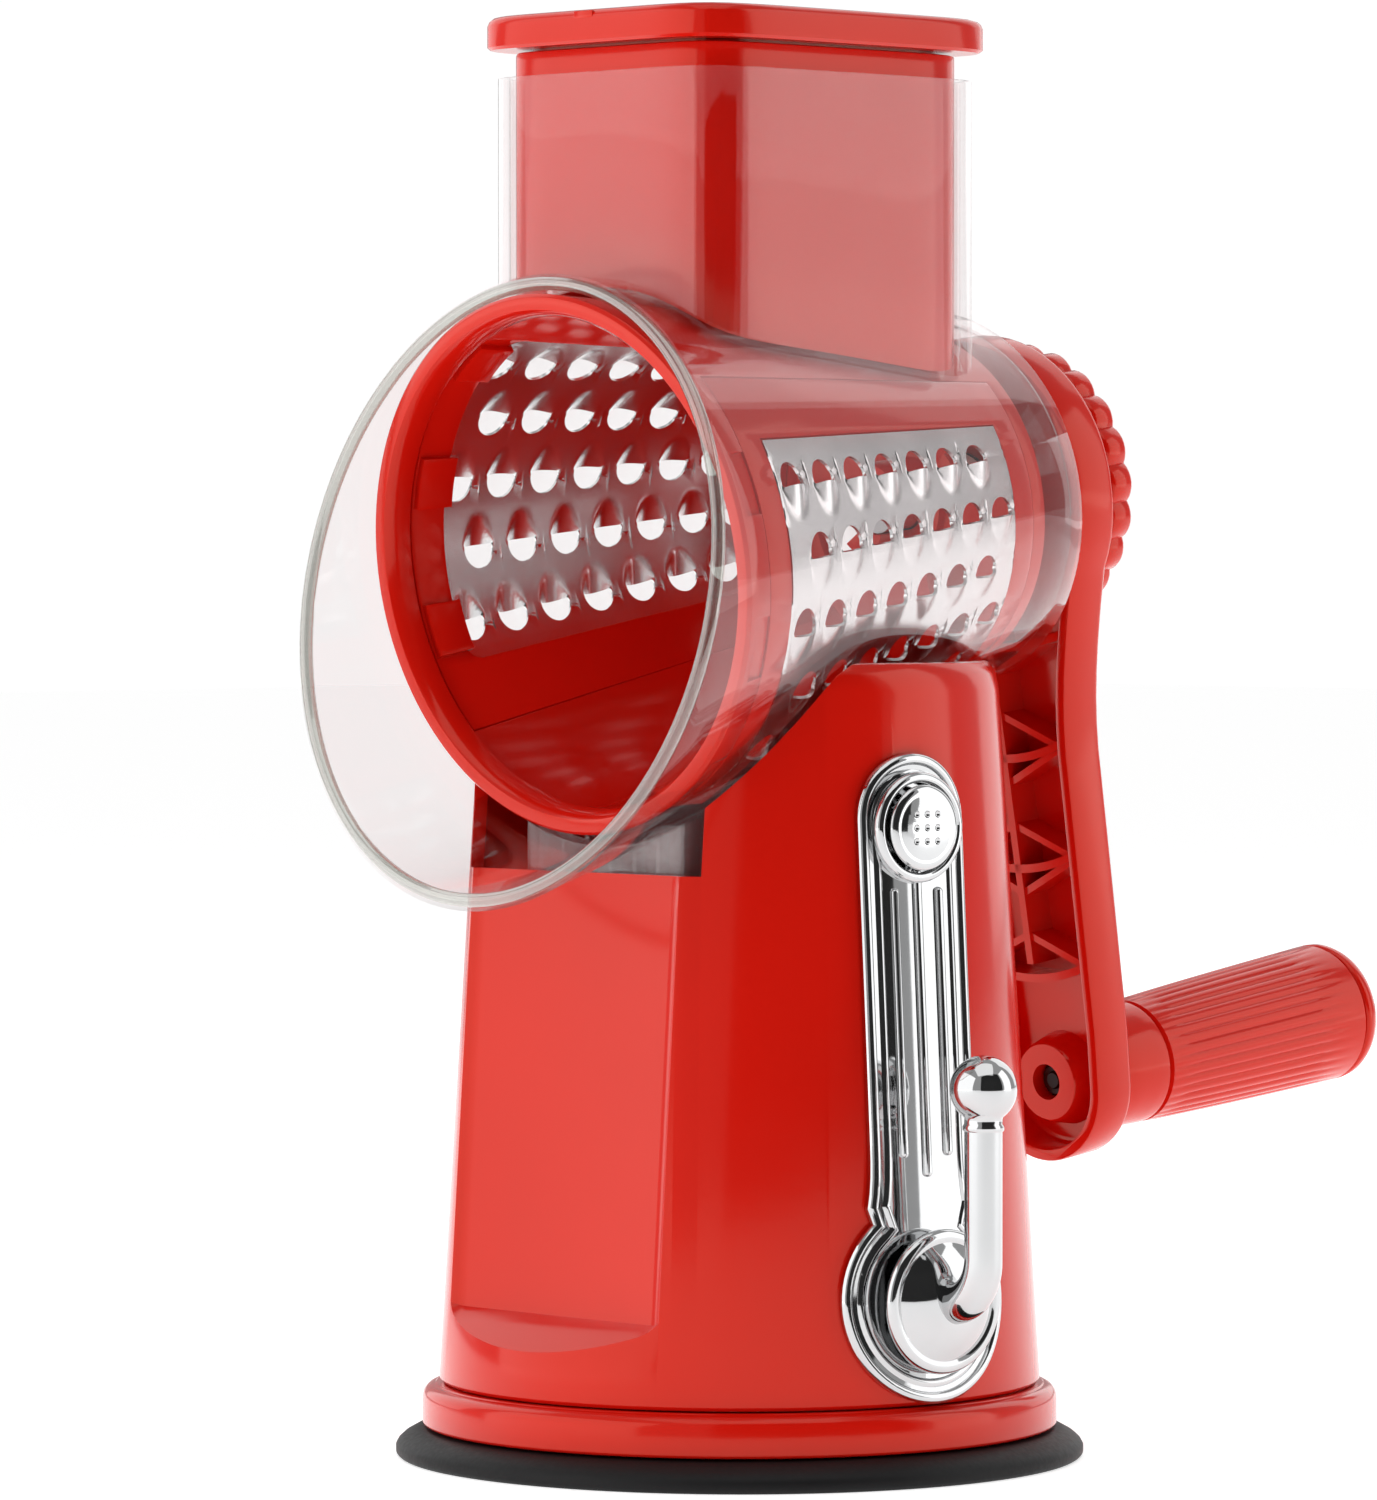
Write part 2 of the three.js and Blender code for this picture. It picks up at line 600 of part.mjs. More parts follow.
function pusherCap() {
  const z0 = hopperTopZ + gap;
  const out = hopperLipOut + capOverhang;
  const lid = raised(loaf(hopperHalfX + out - 1.8, hopperHalfY + out - 1.8), z0, z0 + capHeight);
  const plugX = pusherHalfX - pusherWall - gap;
  const plugY = pusherHalfY - pusherWall - gap;
  const plug = raised(loaf(plugX, plugY), z0 - capPlugDepth, z0 + 1);
  const plugRoom = raised(loaf(plugX - 2, plugY - 2), z0 - capPlugDepth - eps, z0 + 1.4);
  return joined(lid, plug).subtract(plugRoom);
}

// ---- drum ------------------------------------------------------------------------------------
function drumShell(from, to, outset = 0, wall = drumWall, segments = 48) {
  const outer = coneAlong(drumRadius, from, to, outset, segments);
  return outer.subtract(coneAlong(drumRadius, from - 1, to + 1, outset - wall, segments));
}

// A wedge of space round the drum's axis, centred on local +X.
function wedge(halfAngle, from, to, reach = 90) {
  const shape = new THREE.Shape();
  shape.moveTo(0, 0);
  shape.lineTo(reach * Math.cos(halfAngle), -reach * Math.sin(halfAngle));
  shape.absarc(0, 0, reach, -halfAngle, halfAngle, false);
  const toY = turnX(Math.PI / 2);
  return raised(shape, -to, -from, 10).transform(toY.elements);
}

function drumFrame() {
  const panelAngle = Math.PI / 2 - drumBridgeAngle;
  let body = drumShell(drumFrontS, drumRearS);
  const innerS = drumFrontS + drumRingLength;
  const outerS = drumRearS - drumRearLength;
  for (const side of [0, Math.PI]) {
    body = body.subtract(wedge(panelAngle, innerS, outerS).transform(turnY(side).elements));
  }
  const endDisc = rodY(drumRadius(drumRearS) - 1, drumRearS - 3, drumRearS, 48);
  const socket = rodY(shaftRadius + 5, drumRearS - 16, drumRearS, 32);
  const bore = rodY(shaftRadius + gap, drumRearS - 14, drumRearS + 3, 32);
  body = joined(body, endDisc, socket).subtract(bore);
  for (let i = 0; i < 4; i += 1) {
    const slot = block(6 + 9, drumRadius(drumRearS) - 7, drumRearS - 9, drumRearS + 9, -3.5, 3.5);
    body = body.subtract(slot.transform(turnY((i + 0.5) * Math.PI / 2).elements));
  }
  return body;
}

function bladePanel() {
  const from = drumFrontS + drumRingLength + gap;
  const to = drumRearS - drumRearLength - gap;
  const edge = gap / drumRadius(to);
  let panel = drumShell(from, to).intersect(
    wedge(Math.PI / 2 - drumBridgeAngle - edge, from - 1, to + 1));
  const clearance = gap / drumRadius(windowRearS);
  panel = panel.subtract(wedge(windowHalfAngle + clearance, windowFrontS - gap,
    windowRearS + gap));
  for (let i = 0; i < tabCount; i += 1) {
    const at = (i - (tabCount - 1) / 2) * 0.62;
    const tab = drumShell(from + 0.5, from + 9, -drumWall + 0.1, 1.4).intersect(
      wedge(0.11, from, from + 9)).transform(turnY(at).elements);
    panel = panel.add(tab);
  }
  return panel;
}

function graterPlate() {
  let plate = drumShell(windowFrontS, windowRearS, -0.2, plateThickness).intersect(
    wedge(windowHalfAngle, windowFrontS - 1, windowRearS + 1));
  const hole = new THREE.Shape();
  hole.absellipse(0, 0, holeHalfLength, holeHalfWidth, 0, 2 * Math.PI, false, 0);
  const cutter = raised(hole, 20, 80, 3).transform(
    new THREE.Matrix4().makeBasis(new THREE.Vector3(0, 1, 0), new THREE.Vector3(0, 0, 1),
      new THREE.Vector3(1, 0, 0)).elements);
  const middle = (windowFrontS + windowRearS) / 2;
  for (let row = 0; row < holeRows; row += 1) {
    const turn = (row - (holeRows - 1) / 2) * holeAround;
    const shift = row % 2 === 0 ? -holeAlong / 4 : holeAlong / 4;
    for (let i = 0; i < holesPerRow; i += 1) {
      const s = middle + (i - (holesPerRow - 1) / 2) * holeAlong + shift;
      plate = plate.subtract(cutter.transform(turnY(turn).multiply(move(0, s, 0)).elements));
    }
  }
  return plate;
}

// ---- crank -----------------------------------------------------------------------------------
// Outline of the arm in u (across) and v (down is negative), round at both ends.
function armOutline(inset) {
  const top = crankHubRadius - inset;
  const end = crankEndRadius - inset;
  const lean = Math.asin((top - end) / crankLength);
  const shape = new THREE.Shape();
  shape.absarc(0, 0, top, -lean, Math.PI + lean, false);
  shape.absarc(0, -crankLength, end, Math.PI + lean, 2 * Math.PI - lean, false);
  return shape;
}

// Drawn in x and z, raised along the barrel's axis from s = from to s = to.
function alongAxis(shape, from, to, curveSegments = 14) {
  return raised(shape, -to, -from, curveSegments).transform(turnX(Math.PI / 2).elements);
}

const crankBackS = crankFrontS + crankDepth;
function leaned(body) {
  const leanEnd = crankLength - crankPinBoss - 2;
  return body.warp((point) => {
    point[1] += crankLean * Math.min(1, Math.max(0, -point[2] / leanEnd));
  });
}

function crankArm() {
  const rim = alongAxis(armOutline(0), crankFrontS, crankBackS);
  const room = alongAxis(armOutline(crankRim), crankFrontS - 5, crankBackS - crankWeb);
  const parts = [rim.subtract(room)];
  const inside = alongAxis(armOutline(crankRim - 0.5), crankFrontS, crankBackS - 1);
  const hub = rodY(bushRadius + 4, crankFrontS, knobFrontS - gap, 36);
  const boss = rodY(crankPinBoss, crankFrontS, crankBackS - 1, 28).translate(
    [0, 0, -crankLength]);
  const spine = block(-crankRib / 2, crankRib / 2, crankFrontS + 1, crankBackS - 1,
    -crankLength, -bushRadius);
  parts.push(boss, spine);
  for (let i = 1; i <= 3; i += 1) {
    const at = -crankHubRadius + 4 - (i - 1) * 27;
    parts.push(block(-40, 40, crankFrontS + 1, crankBackS - 1, at - crankRib / 2,
      at + crankRib / 2).intersect(inside));
  }
  const shaftBore = rodY(shaftRadius + gap, crankFrontS - 9, crankBackS + 9, 36);
  const pinBore = rodY(gripPinRadius + gap, crankFrontS - 9, crankBackS + 9, 24).translate(
    [0, 0, -crankLength]);
  const pinFace = alongAxis(new THREE.Shape().absarc(0, 0, crankEndRadius, 0, 2 * Math.PI), gripS - 1,
    gripS + 4, 14).translate([0, 0, -crankLength]);
  return joined(leaned(joined(...parts)), hub).subtract(shaftBore).subtract(pinBore).subtract(pinFace);
}

const knobFrontS = crankBackS + crankLean * (knobRadius + 9) / crankLength + gap;
function lockKnob() {
  const points = [];
  for (let i = 0; i < knobLobes * 3; i += 1) {
    const turn = (i / (knobLobes * 3)) * 2 * Math.PI;
    const r = knobRadius - knobLobeDepth * (1 - Math.abs(Math.cos(turn * knobLobes / 2)));
    points.push(new THREE.Vector2(r * Math.cos(turn), r * Math.sin(turn)));
  }
  const body = alongAxis(new THREE.Shape(points), knobFrontS, knobFrontS + knobHeight);
  return body.subtract(rodY(shaftRadius + gap, knobFrontS - 3, knobFrontS + knobHeight - 2, 32));
}

const shaftFrontS = drumRearS - 14 + gap;
const driveShaft = () => rodY(shaftRadius, shaftFrontS, knobFrontS + knobHeight - 2 - gap, 36);

const sealGap = 0.3;
function hubSeal() {
  const s0 = barrelRearS - barrelEndWall - 1 + bushLength + sealGap;
  return turnedY([[shaftRadius + gap, s0], [bushRadius, s0], [bushRadius, crankFrontS - sealGap],
    [shaftRadius + gap, crankFrontS - sealGap]], 36);
}

// ---- grip, round the pin at the foot of the arm ---------------------------------------------
const gripS = crankBackS + crankLean + 1;
const capS = gripS + gripLength - gripCapLength;
const gripRadius = (s) => gripStartRadius
  + (gripEndRadius - gripStartRadius) * Math.sqrt(Math.max(0, (s - gripS) / gripLength));

function grip() {
  const profile = [[gripPinRadius + gap, gripS], [gripStartRadius - 1, gripS]];
  for (let i = 0; i <= 4; i += 1) {
    const s = gripS + 0.8 + (i / 4) * (capS - gap - gripS - 0.8);
    profile.push([gripRadius(s), s]);
  }
  profile.push([gripPinRadius + gap, capS - gap]);
  return turnedY(profile, 32);
}

function gripCap() {
  const r = gripRadius(capS);
  return turnedY([[0, capS], [r, capS], [r, capS + gripCapLength * 0.5],
    [r - 2.2, capS + gripCapLength * 0.88], [r - 6, capS + gripCapLength],
    [0, capS + gripCapLength]], 32);
}

function gripPin() {
  const faceS = crankFrontS + crankLean;
  const shank = rodY(gripPinRadius, faceS - 1, capS - 1, 24);
  return joined(shank, rodY(gripPinHeadRadius, faceS - 1.6, faceS - gap, 24));
}

// ---- assembly --------------------------------------------------------------------------------
const grater = new THREE.Group();

add(grater, 'suction_pad', suctionPad(), rubber);
add(grater, 'base_flange', baseFlange(), red);
add(grater, 'base_plate', basePlate(), red);
screwPlaces.forEach((place, i) => add(grater, `base_screw_${i + 1}`, baseScrew(place), steel));
add(grater, 'column_shell', columnShell(), red);
add(grater, 'socket_deck', socketFrame(), red);

const side = new THREE.Group();
side.rotation.z = sideAngle;
grater.add(side);
add(side, 'pull_stem', pullStem(), steel);
add(side, 'stem_clip', stemClip(), steel);
add(side, 'cam', camPiece(), nylon);
add(side, 'cam_shaft', camShaft(), steel);
add(side, 'shaft_bush', shaftBush(), nylon);
add(side, 'shaft_bracket', shaftBracket(), red);
add(side, 'side_plate', sidePlate(), chrome);
add(side, 'lever_hub', leverHub(), chrome);
const [leverRod, leverBall] = leverArm();
add(side, 'lever_arm', leverRod.subtract(leverBall), chrome);
add(side, 'lever_ball', leverBall, chrome);
add(side, 'release_button', releaseButton(), chrome);
add(side, 'latch', latch(), nylon);
add(side, 'button_spring', buttonSpring(), steel);

add(grater, 'housing', housing(), clear);
add(grater, 'pusher_shell', pusherShell(), red);
add(grater, 'pusher_cap', pusherCap(), red);

const barrel = new THREE.Group();
barrel.position.set(0, 0, barrelZ);
barrel.rotation.x = barrelTilt;
grater.add(barrel);
add(barrel, 'bearing_bush', bearingBush(), nylon);
add(barrel, 'drum_frame', drumFrame(), red).rotation.y = drumTurn;
for (const [name, turn] of [['right', drumTurn], ['left', drumTurn + Math.PI]]) {
  add(barrel, `blade_panel_${name}`, bladePanel(), red).rotation.y = turn;
  add(barrel, `grater_plate_${name}`, graterPlate(), steel).rotation.y = turn;
}
add(barrel, 'drive_shaft', driveShaft(), steel);
add(barrel, 'hub_seal', hubSeal(), rubber);
add(barrel, 'crank_arm', crankArm(), red);
add(barrel, 'lock_knob', lockKnob(), red);

const handle = new THREE.Group();
handle.position.z = -crankLength;
barrel.add(handle);
add(handle, 'grip_pin', gripPin(), steel);
add(handle, 'grip', grip(), red);
add(handle, 'grip_cap', gripCap(), red);

export default grater;
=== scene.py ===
import math

import bpy
import bmesh
from mathutils import Matrix, Vector


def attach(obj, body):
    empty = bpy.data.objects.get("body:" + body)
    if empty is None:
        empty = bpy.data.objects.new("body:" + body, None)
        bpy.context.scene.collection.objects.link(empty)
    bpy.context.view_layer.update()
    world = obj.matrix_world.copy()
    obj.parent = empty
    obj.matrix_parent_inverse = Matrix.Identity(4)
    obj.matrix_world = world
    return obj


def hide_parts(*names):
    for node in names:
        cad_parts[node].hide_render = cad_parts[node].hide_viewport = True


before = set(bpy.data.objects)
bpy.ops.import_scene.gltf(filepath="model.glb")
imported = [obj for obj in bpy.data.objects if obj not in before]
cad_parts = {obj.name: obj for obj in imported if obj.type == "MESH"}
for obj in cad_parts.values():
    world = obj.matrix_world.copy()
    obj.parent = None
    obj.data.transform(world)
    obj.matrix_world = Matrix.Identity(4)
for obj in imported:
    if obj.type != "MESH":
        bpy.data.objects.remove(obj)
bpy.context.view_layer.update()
MM = 0.001


# ---- view, floor and lights ----------------------------------------------------------------
# A product view from in front and to the right, a little above the worktop. Two large soft
# panels light the sides; between them the space behind the camera stays dim, which draws
# the long upright reflections on the glossy column.
VIEW_TURN = math.radians(45.608)
VIEW_REACH = 1558.07 * MM
VIEW_HEIGHT = 185.2 * MM
VIEW_DIP = math.radians(1.465)
VIEW_PAN = math.radians(0.388)
VIEW_LENS = 181.3056

camera_data = bpy.data.cameras.new("view")
camera_data.lens = VIEW_LENS
camera_data.sensor_width = 36
camera_data.clip_start = 0.05
camera = bpy.data.objects.new("view", camera_data)
bpy.context.collection.objects.link(camera)
camera.location = (VIEW_REACH * math.sin(VIEW_TURN), -VIEW_REACH * math.cos(VIEW_TURN),
                   VIEW_HEIGHT)
camera.rotation_euler = (math.pi / 2 - VIEW_DIP, 0, VIEW_TURN + VIEW_PAN)
bpy.context.scene.camera = camera
bpy.context.scene.view_settings.view_transform = "Standard"


class Wire:
    """A socket of a material's nodes. Sums on wires add Math nodes; node() adds any other."""

    def __init__(self, tree, socket=None):
        self.tree = tree
        self.socket = socket

    def node(self, kind, settings=(), sockets=(), out=0):
        made = self.tree.nodes.new(kind)
        for key, value in dict(settings).items():
            setattr(made, key, value)
        for key, value in dict(sockets).items():
            if isinstance(value, Wire):
                self.tree.links.new(value.socket, made.inputs[key])
            else:
                made.inputs[key].default_value = value
        return Wire(self.tree, made.outputs[out])

    def maths(self, operation, a, b=0.0):
        return self.node("ShaderNodeMath", {"operation": operation}, {0: a, 1: b})

    def __add__(self, other):
        return self.maths("ADD", self, other)

    def __radd__(self, other):
        return self.maths("ADD", other, self)

    def __mul__(self, other):
        return self.maths("MULTIPLY", self, other)

    def __rmul__(self, other):
        return self.maths("MULTIPLY", other, self)

    def __pow__(self, other):
        return self.maths("POWER", self, other)


def new_material(name):
    """A blank material, with a wire to build on and its output node."""
    material = bpy.data.materials.new(name)
    material.use_nodes = True
    material.node_tree.nodes.clear()
    output = material.node_tree.nodes.new("ShaderNodeOutputMaterial")
    return material, Wire(material.node_tree), output


def speckle(wire, scale, detail):
    """Noise from 0 to 1, with this many grains a metre."""
    place = wire.node("ShaderNodeTexCoord", out="Object")
    return wire.node("ShaderNodeTexNoise", (), {"Vector": place, "Scale": scale,
                                                "Detail": detail})


def brushed(wire, scale):
    """Noise drawn out along one axis, as rolling or brushing leaves it."""
    place = wire.node("ShaderNodeTexCoord", out="Object")
    stretched = wire.node("ShaderNodeMapping", {"vector_type": "POINT"},
                          {"Vector": place, "Scale": scale})
    return wire.node("ShaderNodeTexNoise", (), {"Vector": stretched, "Scale": 1.0})


def bump(wire, height, distance, strength):
    return wire.node("ShaderNodeBump", (), {"Height": height, "Distance": distance,
                                            "Strength": strength})


def mixed(wire, share, first, second):
    return wire.node("ShaderNodeMix", {"data_type": "RGBA"}, {0: share, 6: first, 7: second},
                     out=2)


def stage_material(name, colour, roughness, glow):
    material, wire, output = new_material(name)
    shader = wire.node("ShaderNodeBsdfPrincipled", (), {
        "Base Color": (*colour, 1), "Roughness": roughness,
        "Emission Color": (1, 1, 1, 1), "Emission Strength": glow})
    wire.tree.links.new(shader.socket, output.inputs["Surface"])
    return material


def plain_deselect():
    if bpy.context.object and bpy.context.object.mode != "OBJECT":
        bpy.ops.object.mode_set(mode="OBJECT")
    bpy.ops.object.select_all(action="DESELECT")


def only(piece):
    """Makes a piece the one that is picked and worked on."""
    plain_deselect()
    piece.select_set(True)
    bpy.context.view_layer.objects.active = piece


plain_deselect()
bpy.ops.mesh.primitive_plane_add(size=14)
floor = bpy.context.object
floor.name = "floor"
floor.data.materials.append(stage_material("pale_floor", (0.86, 0.86, 0.86), 0.6, 0.62))


def round_from_view(turn):
    """The angle in the floor's plane, this many degrees round from the camera's side."""
    return math.radians(turn) + VIEW_TURN - math.pi / 2


def lamp(name, turn, rise, reach, width, height, power):
    """A soft panel aimed at the middle of the object."""
    angle = round_from_view(turn)
    lift = math.radians(rise)
    data = bpy.data.lights.new(name, "AREA")
    data.shape = "RECTANGLE"
    data.size = width
    data.size_y = height
    data.energy = power
    panel = bpy.data.objects.new(name, data)
    bpy.context.collection.objects.link(panel)
    middle = Vector((0, 0, 0.15))
    away = Vector((math.cos(angle) * math.cos(lift), math.sin(angle) * math.cos(lift),
                   math.sin(lift)))
    panel.location = middle + away * reach
    panel.rotation_euler = away.to_track_quat("Z", "Y").to_euler()


lamp("left_panel", -70, 10, 1.5, 2.0, 2.0, 15)
lamp("right_panel", 88, 8, 1.4, 0.8, 2.0, 6.5)
lamp("top_panel", 10, 74, 1.7, 1.6, 1.6, 6.5)
lamp("back_left", -140, 25, 1.8, 1.4, 1.8, 7)
lamp("back_right", 150, 25, 1.8, 1.4, 1.8, 7)

# an upright dark card that only reflections see
CARD_REACH = 1.75
CARD_WIDTH = 2.7
CARD_HEIGHT = 2.3
card_angle = round_from_view(28)
plain_deselect()
bpy.ops.mesh.primitive_plane_add(size=1, rotation=(math.pi / 2, 0, card_angle + math.pi / 2))
card = bpy.context.object
card.name = "dim_wall"
card.scale = (CARD_WIDTH, CARD_HEIGHT, 1)
card.location = (CARD_REACH * math.cos(card_angle), CARD_REACH * math.sin(card_angle),
                 CARD_HEIGHT / 2)
card.data.materials.append(stage_material("dim_wall", (0.012, 0.012, 0.012), 0.9, 0))
card.visible_camera = False
card.visible_shadow = False

world = bpy.data.worlds.new("studio")
world.use_nodes = True
air = Wire(world.node_tree)
seen = air.node("ShaderNodeLightPath", out="Is Camera Ray")
world.node_tree.nodes["Background"].inputs["Color"].default_value = (1, 1, 1, 1)
world.node_tree.links.new((0.42 + 0.60 * seen).socket,
                          world.node_tree.nodes["Background"].inputs["Strength"])
bpy.context.scene.world = world


# ---- suction pad ---------------------------------------------------------------------------
# A moulded black rubber disc. Its rim slopes up to the flange above, and its underside is a
# shallow cup that the lever pulls up in the middle. It is clamped round the base's edge.
PAD_RADIUS = 71
PAD_HEIGHT = 6
FLANGE_RADIUS = 65.5


def extruded(step):
    """Extrudes what is selected by this step, in metres."""
    bpy.ops.mesh.extrude_region_move(TRANSFORM_OT_translate={"value": step})


def closed_up():
    """Turns every face outwards and leaves edit mode."""
    bpy.ops.mesh.select_all(action="SELECT")
    bpy.ops.mesh.normals_make_consistent(inside=False)
    bpy.ops.object.mode_set(mode="OBJECT")


def drawn(name, points, closed=False):
    """A chain of edges drawn point by point, in mm: one vertex extruded along the way."""
    plain_deselect()
    bpy.ops.mesh.primitive_plane_add(size=0.001)
    piece = bpy.context.object
    piece.name = name
    piece.data.name = name
    bpy.ops.object.mode_set(mode="EDIT")
    bpy.ops.mesh.select_mode(type="VERT")
    bpy.ops.mesh.select_all(action="SELECT")
    bpy.ops.mesh.merge(type="CENTER")
    here = Vector(points[0])
    bpy.ops.transform.translate(value=here * MM)
    for point in points[1:]:
        step = Vector(point) - here
        here = Vector(point)
        extruded(step * MM)
    bpy.ops.mesh.select_all(action="SELECT")
    if closed:
        bpy.ops.mesh.edge_face_add()
    return piece


def turned(name, profile, sides=96, base=0):
    """A profile of (radius, height above the base) in mm, spun once round Z."""
    piece = drawn(name, [(r, 0, base + h) for r, h in profile])
    bpy.ops.mesh.spin(steps=sides, angle=2 * math.pi, center=(0, 0, 0), axis=(0, 0, 1))
    bpy.ops.mesh.select_all(action="SELECT")
    bpy.ops.mesh.remove_doubles(threshold=2e-6)
    closed_up()
    return piece


def raised(name, outline, low, high):
    """A closed outline of (x, y) in mm, raised from one height to another."""
    piece = drawn(name, [(x, y, low) for x, y in outline], closed=True)
    extruded((0, 0, (high - low) * MM))
    closed_up()
    return piece


def block(name, left, right, front, back, low, high):
    return raised(name, [(left, front), (right, front), (right, back), (left, back)], low, high)


def settle(piece, place):
    """Puts a piece in its place and leaves its object at the origin."""
    only(piece)
    piece.matrix_world = place
    bpy.ops.object.transform_apply(location=True, rotation=True, scale=True)
    return piece


def applied(piece, kind, **settings):
    only(piece)
    modifier = piece.modifiers.new(kind.lower(), kind)
    for key, value in settings.items():
        setattr(modifier, key, value)
    bpy.ops.object.modifier_apply(modifier=modifier.name)
    return piece


def smoothed(piece, angle):
    """Shades a piece smooth, apart from edges sharper than this many degrees."""
    only(piece)
    bpy.ops.object.shade_smooth_by_angle(angle=math.radians(angle))


def softened(piece, width, segments, angle, smooth):
    """Rounds the edges sharper than an angle, as a mould does, and shades the piece smooth."""
    applied(piece, "BEVEL", width=width * MM, segments=segments, limit_method="ANGLE",
            angle_limit=math.radians(angle))
    smoothed(piece, smooth)


def cut(piece, tool, operation="DIFFERENCE"):
    """Cuts a piece with a tool, joins it on or keeps what they share; the tool goes."""
    applied(piece, "BOOLEAN", object=tool, operation=operation, solver="EXACT")
    bpy.data.objects.remove(tool, do_unlink=True)
    return piece


def copied(piece, name):
    twin = piece.copy()
    twin.data = piece.data.copy()
    twin.name = name
    twin.data.name = name
    bpy.context.collection.objects.link(twin)
    return twin


def joined(pieces):
    plain_deselect()
    for piece in pieces:
        piece.select_set(True)
    bpy.context.view_layer.objects.active = pieces[0]
    bpy.ops.object.join()
    return pieces[0]


def fitted(piece, material, body, slot, *nodes):
    """Gives a finished piece its material and its place on the moving body."""
    piece.data.materials.clear()
    piece.data.materials.append(material)
    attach(piece, body)
    if nodes:
        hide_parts(*nodes)
    return piece


def principled(wire, output, **sockets):
    named = {key.replace("_", " "): value for key, value in sockets.items()}
    shader = wire.node("ShaderNodeBsdfPrincipled", (), named)
    if output:
        wire.tree.links.new(shader.socket, output.inputs["Surface"])
    return shader


black_rubber, wire, output = new_material("black_rubber")
dust = speckle(wire, 900, 3)
patch = speckle(wire, 38, 2)
principled(wire, output, Base_Color=mixed(wire, patch, (0.005, 0.005, 0.0055, 1),
                                          (0.010, 0.010, 0.0105, 1)),
           Roughness=0.42 + 0.2 * dust, Specular_IOR_Level=0.22,
           Normal=bump(wire, dust, 0.00006, 0.6))

pad = turned("suction_pad_rubber", [
    (0, 1.2), (30, 1.0), (58, 0.5), (65, 0), (PAD_RADIUS - 0.8, 0), (PAD_RADIUS, 0.7),
    (PAD_RADIUS, 2.2), (PAD_RADIUS - 0.5, 3.1), (PAD_RADIUS - 1.6, 4.1),
    (PAD_RADIUS - 3.4, 5.1), (FLANGE_RADIUS + 1, 5.6), (FLANGE_RADIUS - 0.4, 5.9),
    (40, PAD_HEIGHT), (17, PAD_HEIGHT), (16.6, 3), (0, 3)], 144)
softened(pad, 0.3, 2, 40, 30)
fitted(pad, black_rubber, "base", "black_rubber", "suction_pad")


# ---- base flange, plate and screws ---------------------------------------------------------
# A turned-looking foot moulded in the column's red plastic, with a rounded shoulder and a
# small step under the column. The plate closes it from below with four screws.
FLANGE_TOP = 15.1

glossy_red, wire, output = new_material("glossy_red_plastic")
flow = speckle(wire, 22, 3)
skin = speckle(wire, 420, 2)
mist = speckle(wire, 95, 4)
principled(wire, output, Base_Color=mixed(wire, flow, (0.64, 0.0078, 0.0030, 1),
                                          (0.72, 0.0100, 0.0040, 1)),
           Roughness=0.10 + 0.08 * mist, Specular_IOR_Level=0.60,
           Specular_Tint=(1.0, 0.52, 0.38, 1), Coat_Weight=0.05, Coat_Roughness=0.04,
           Normal=bump(wire, skin + 0.6 * flow, 0.000022, 0.5))

flange = turned("flange_ring", [
    (55.8, 6.4), (FLANGE_RADIUS - 0.5, 6.4), (FLANGE_RADIUS, 6.9), (FLANGE_RADIUS, 12.3),
    (FLANGE_RADIUS - 0.3, 13.4), (FLANGE_RADIUS - 1.1, 14.3), (FLANGE_RADIUS - 2.3, 14.8),
    (62.9, 14.8), (62.6, FLANGE_TOP), (55.8, FLANGE_TOP), (55.8, 6.4)], 144)
softened(flange, 0.25, 2, 40, 30)
fitted(flange, glossy_red, "base", "red_plastic", "base_flange")

satin_steel, wire, output = new_material("satin_steel")
scratches = brushed(wire, (60, 2200, 2200))
smear = speckle(wire, 45, 3)
principled(wire, output, Base_Color=mixed(wire, smear, (0.66, 0.67, 0.68, 1),
                                          (0.76, 0.765, 0.77, 1)),
           Metallic=1.0, Roughness=0.17 + 0.16 * smear,
           Normal=bump(wire, scratches, 0.00001, 0.35))

pale_nylon, wire, output = new_material("pale_nylon")
grain = speckle(wire, 320, 3)
principled(wire, output, Base_Color=mixed(wire, grain, (0.74, 0.72, 0.66, 1),
                                          (0.84, 0.82, 0.77, 1)),
           Roughness=0.38 + 0.12 * grain, Normal=bump(wire, grain, 0.00004, 0.5))


def finish_nodes(material, *names):
    for name in names:
        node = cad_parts[name]
        node.data.materials.clear()
        node.data.materials.append(material)


finish_nodes(glossy_red, "base_plate", "socket_deck", "shaft_bracket")
finish_nodes(satin_steel, "base_screw_1", "base_screw_2", "base_screw_3", "base_screw_4")


# ---- column --------------------------------------------------------------------------------
# The tall red stand, moulded in one piece: a tapering round shell with a flat front panel
# that ends in a scooped foot, a low front ledge, and a saddle on top for the barrel.
COLUMN_FOOT_Z = 15.4
COLUMN_TOP_Z = 164.4
COLUMN_BASE_RADIUS = 62
COLUMN_TAPER = 0.06
COLUMN_WALL = 2.8
LEDGE_Z = 121.5
PANEL_HALF = 34
PANEL_FOOT_Z = 32
PANEL_FOOT_Y = -51.6
PANEL_LEAN = 0.066
BARREL_Z = 189.95
BARREL_TILT = math.radians(7.28)
BARREL_REAR_S = 62.2
BARREL_REAR_RADIUS = 39.3
BARREL_CONE = 0.176
TOOL_FRONT_S = -110
LEVER_Z = 36.4
BUTTON_Z = 131
SIDEWAYS = Matrix(((0, 0, 1, 0), (1, 0, 0, 0), (0, 1, 0, 0), (0, 0, 0, 1)))
SIDE = Matrix.Rotation(math.radians(-6), 4, "Z")
BARREL = Matrix.Translation((0, 0, BARREL_Z * MM)) @ Matrix.Rotation(BARREL_TILT, 4, "X")
ALONG = BARREL @ Matrix.Rotation(-math.pi / 2, 4, "X")


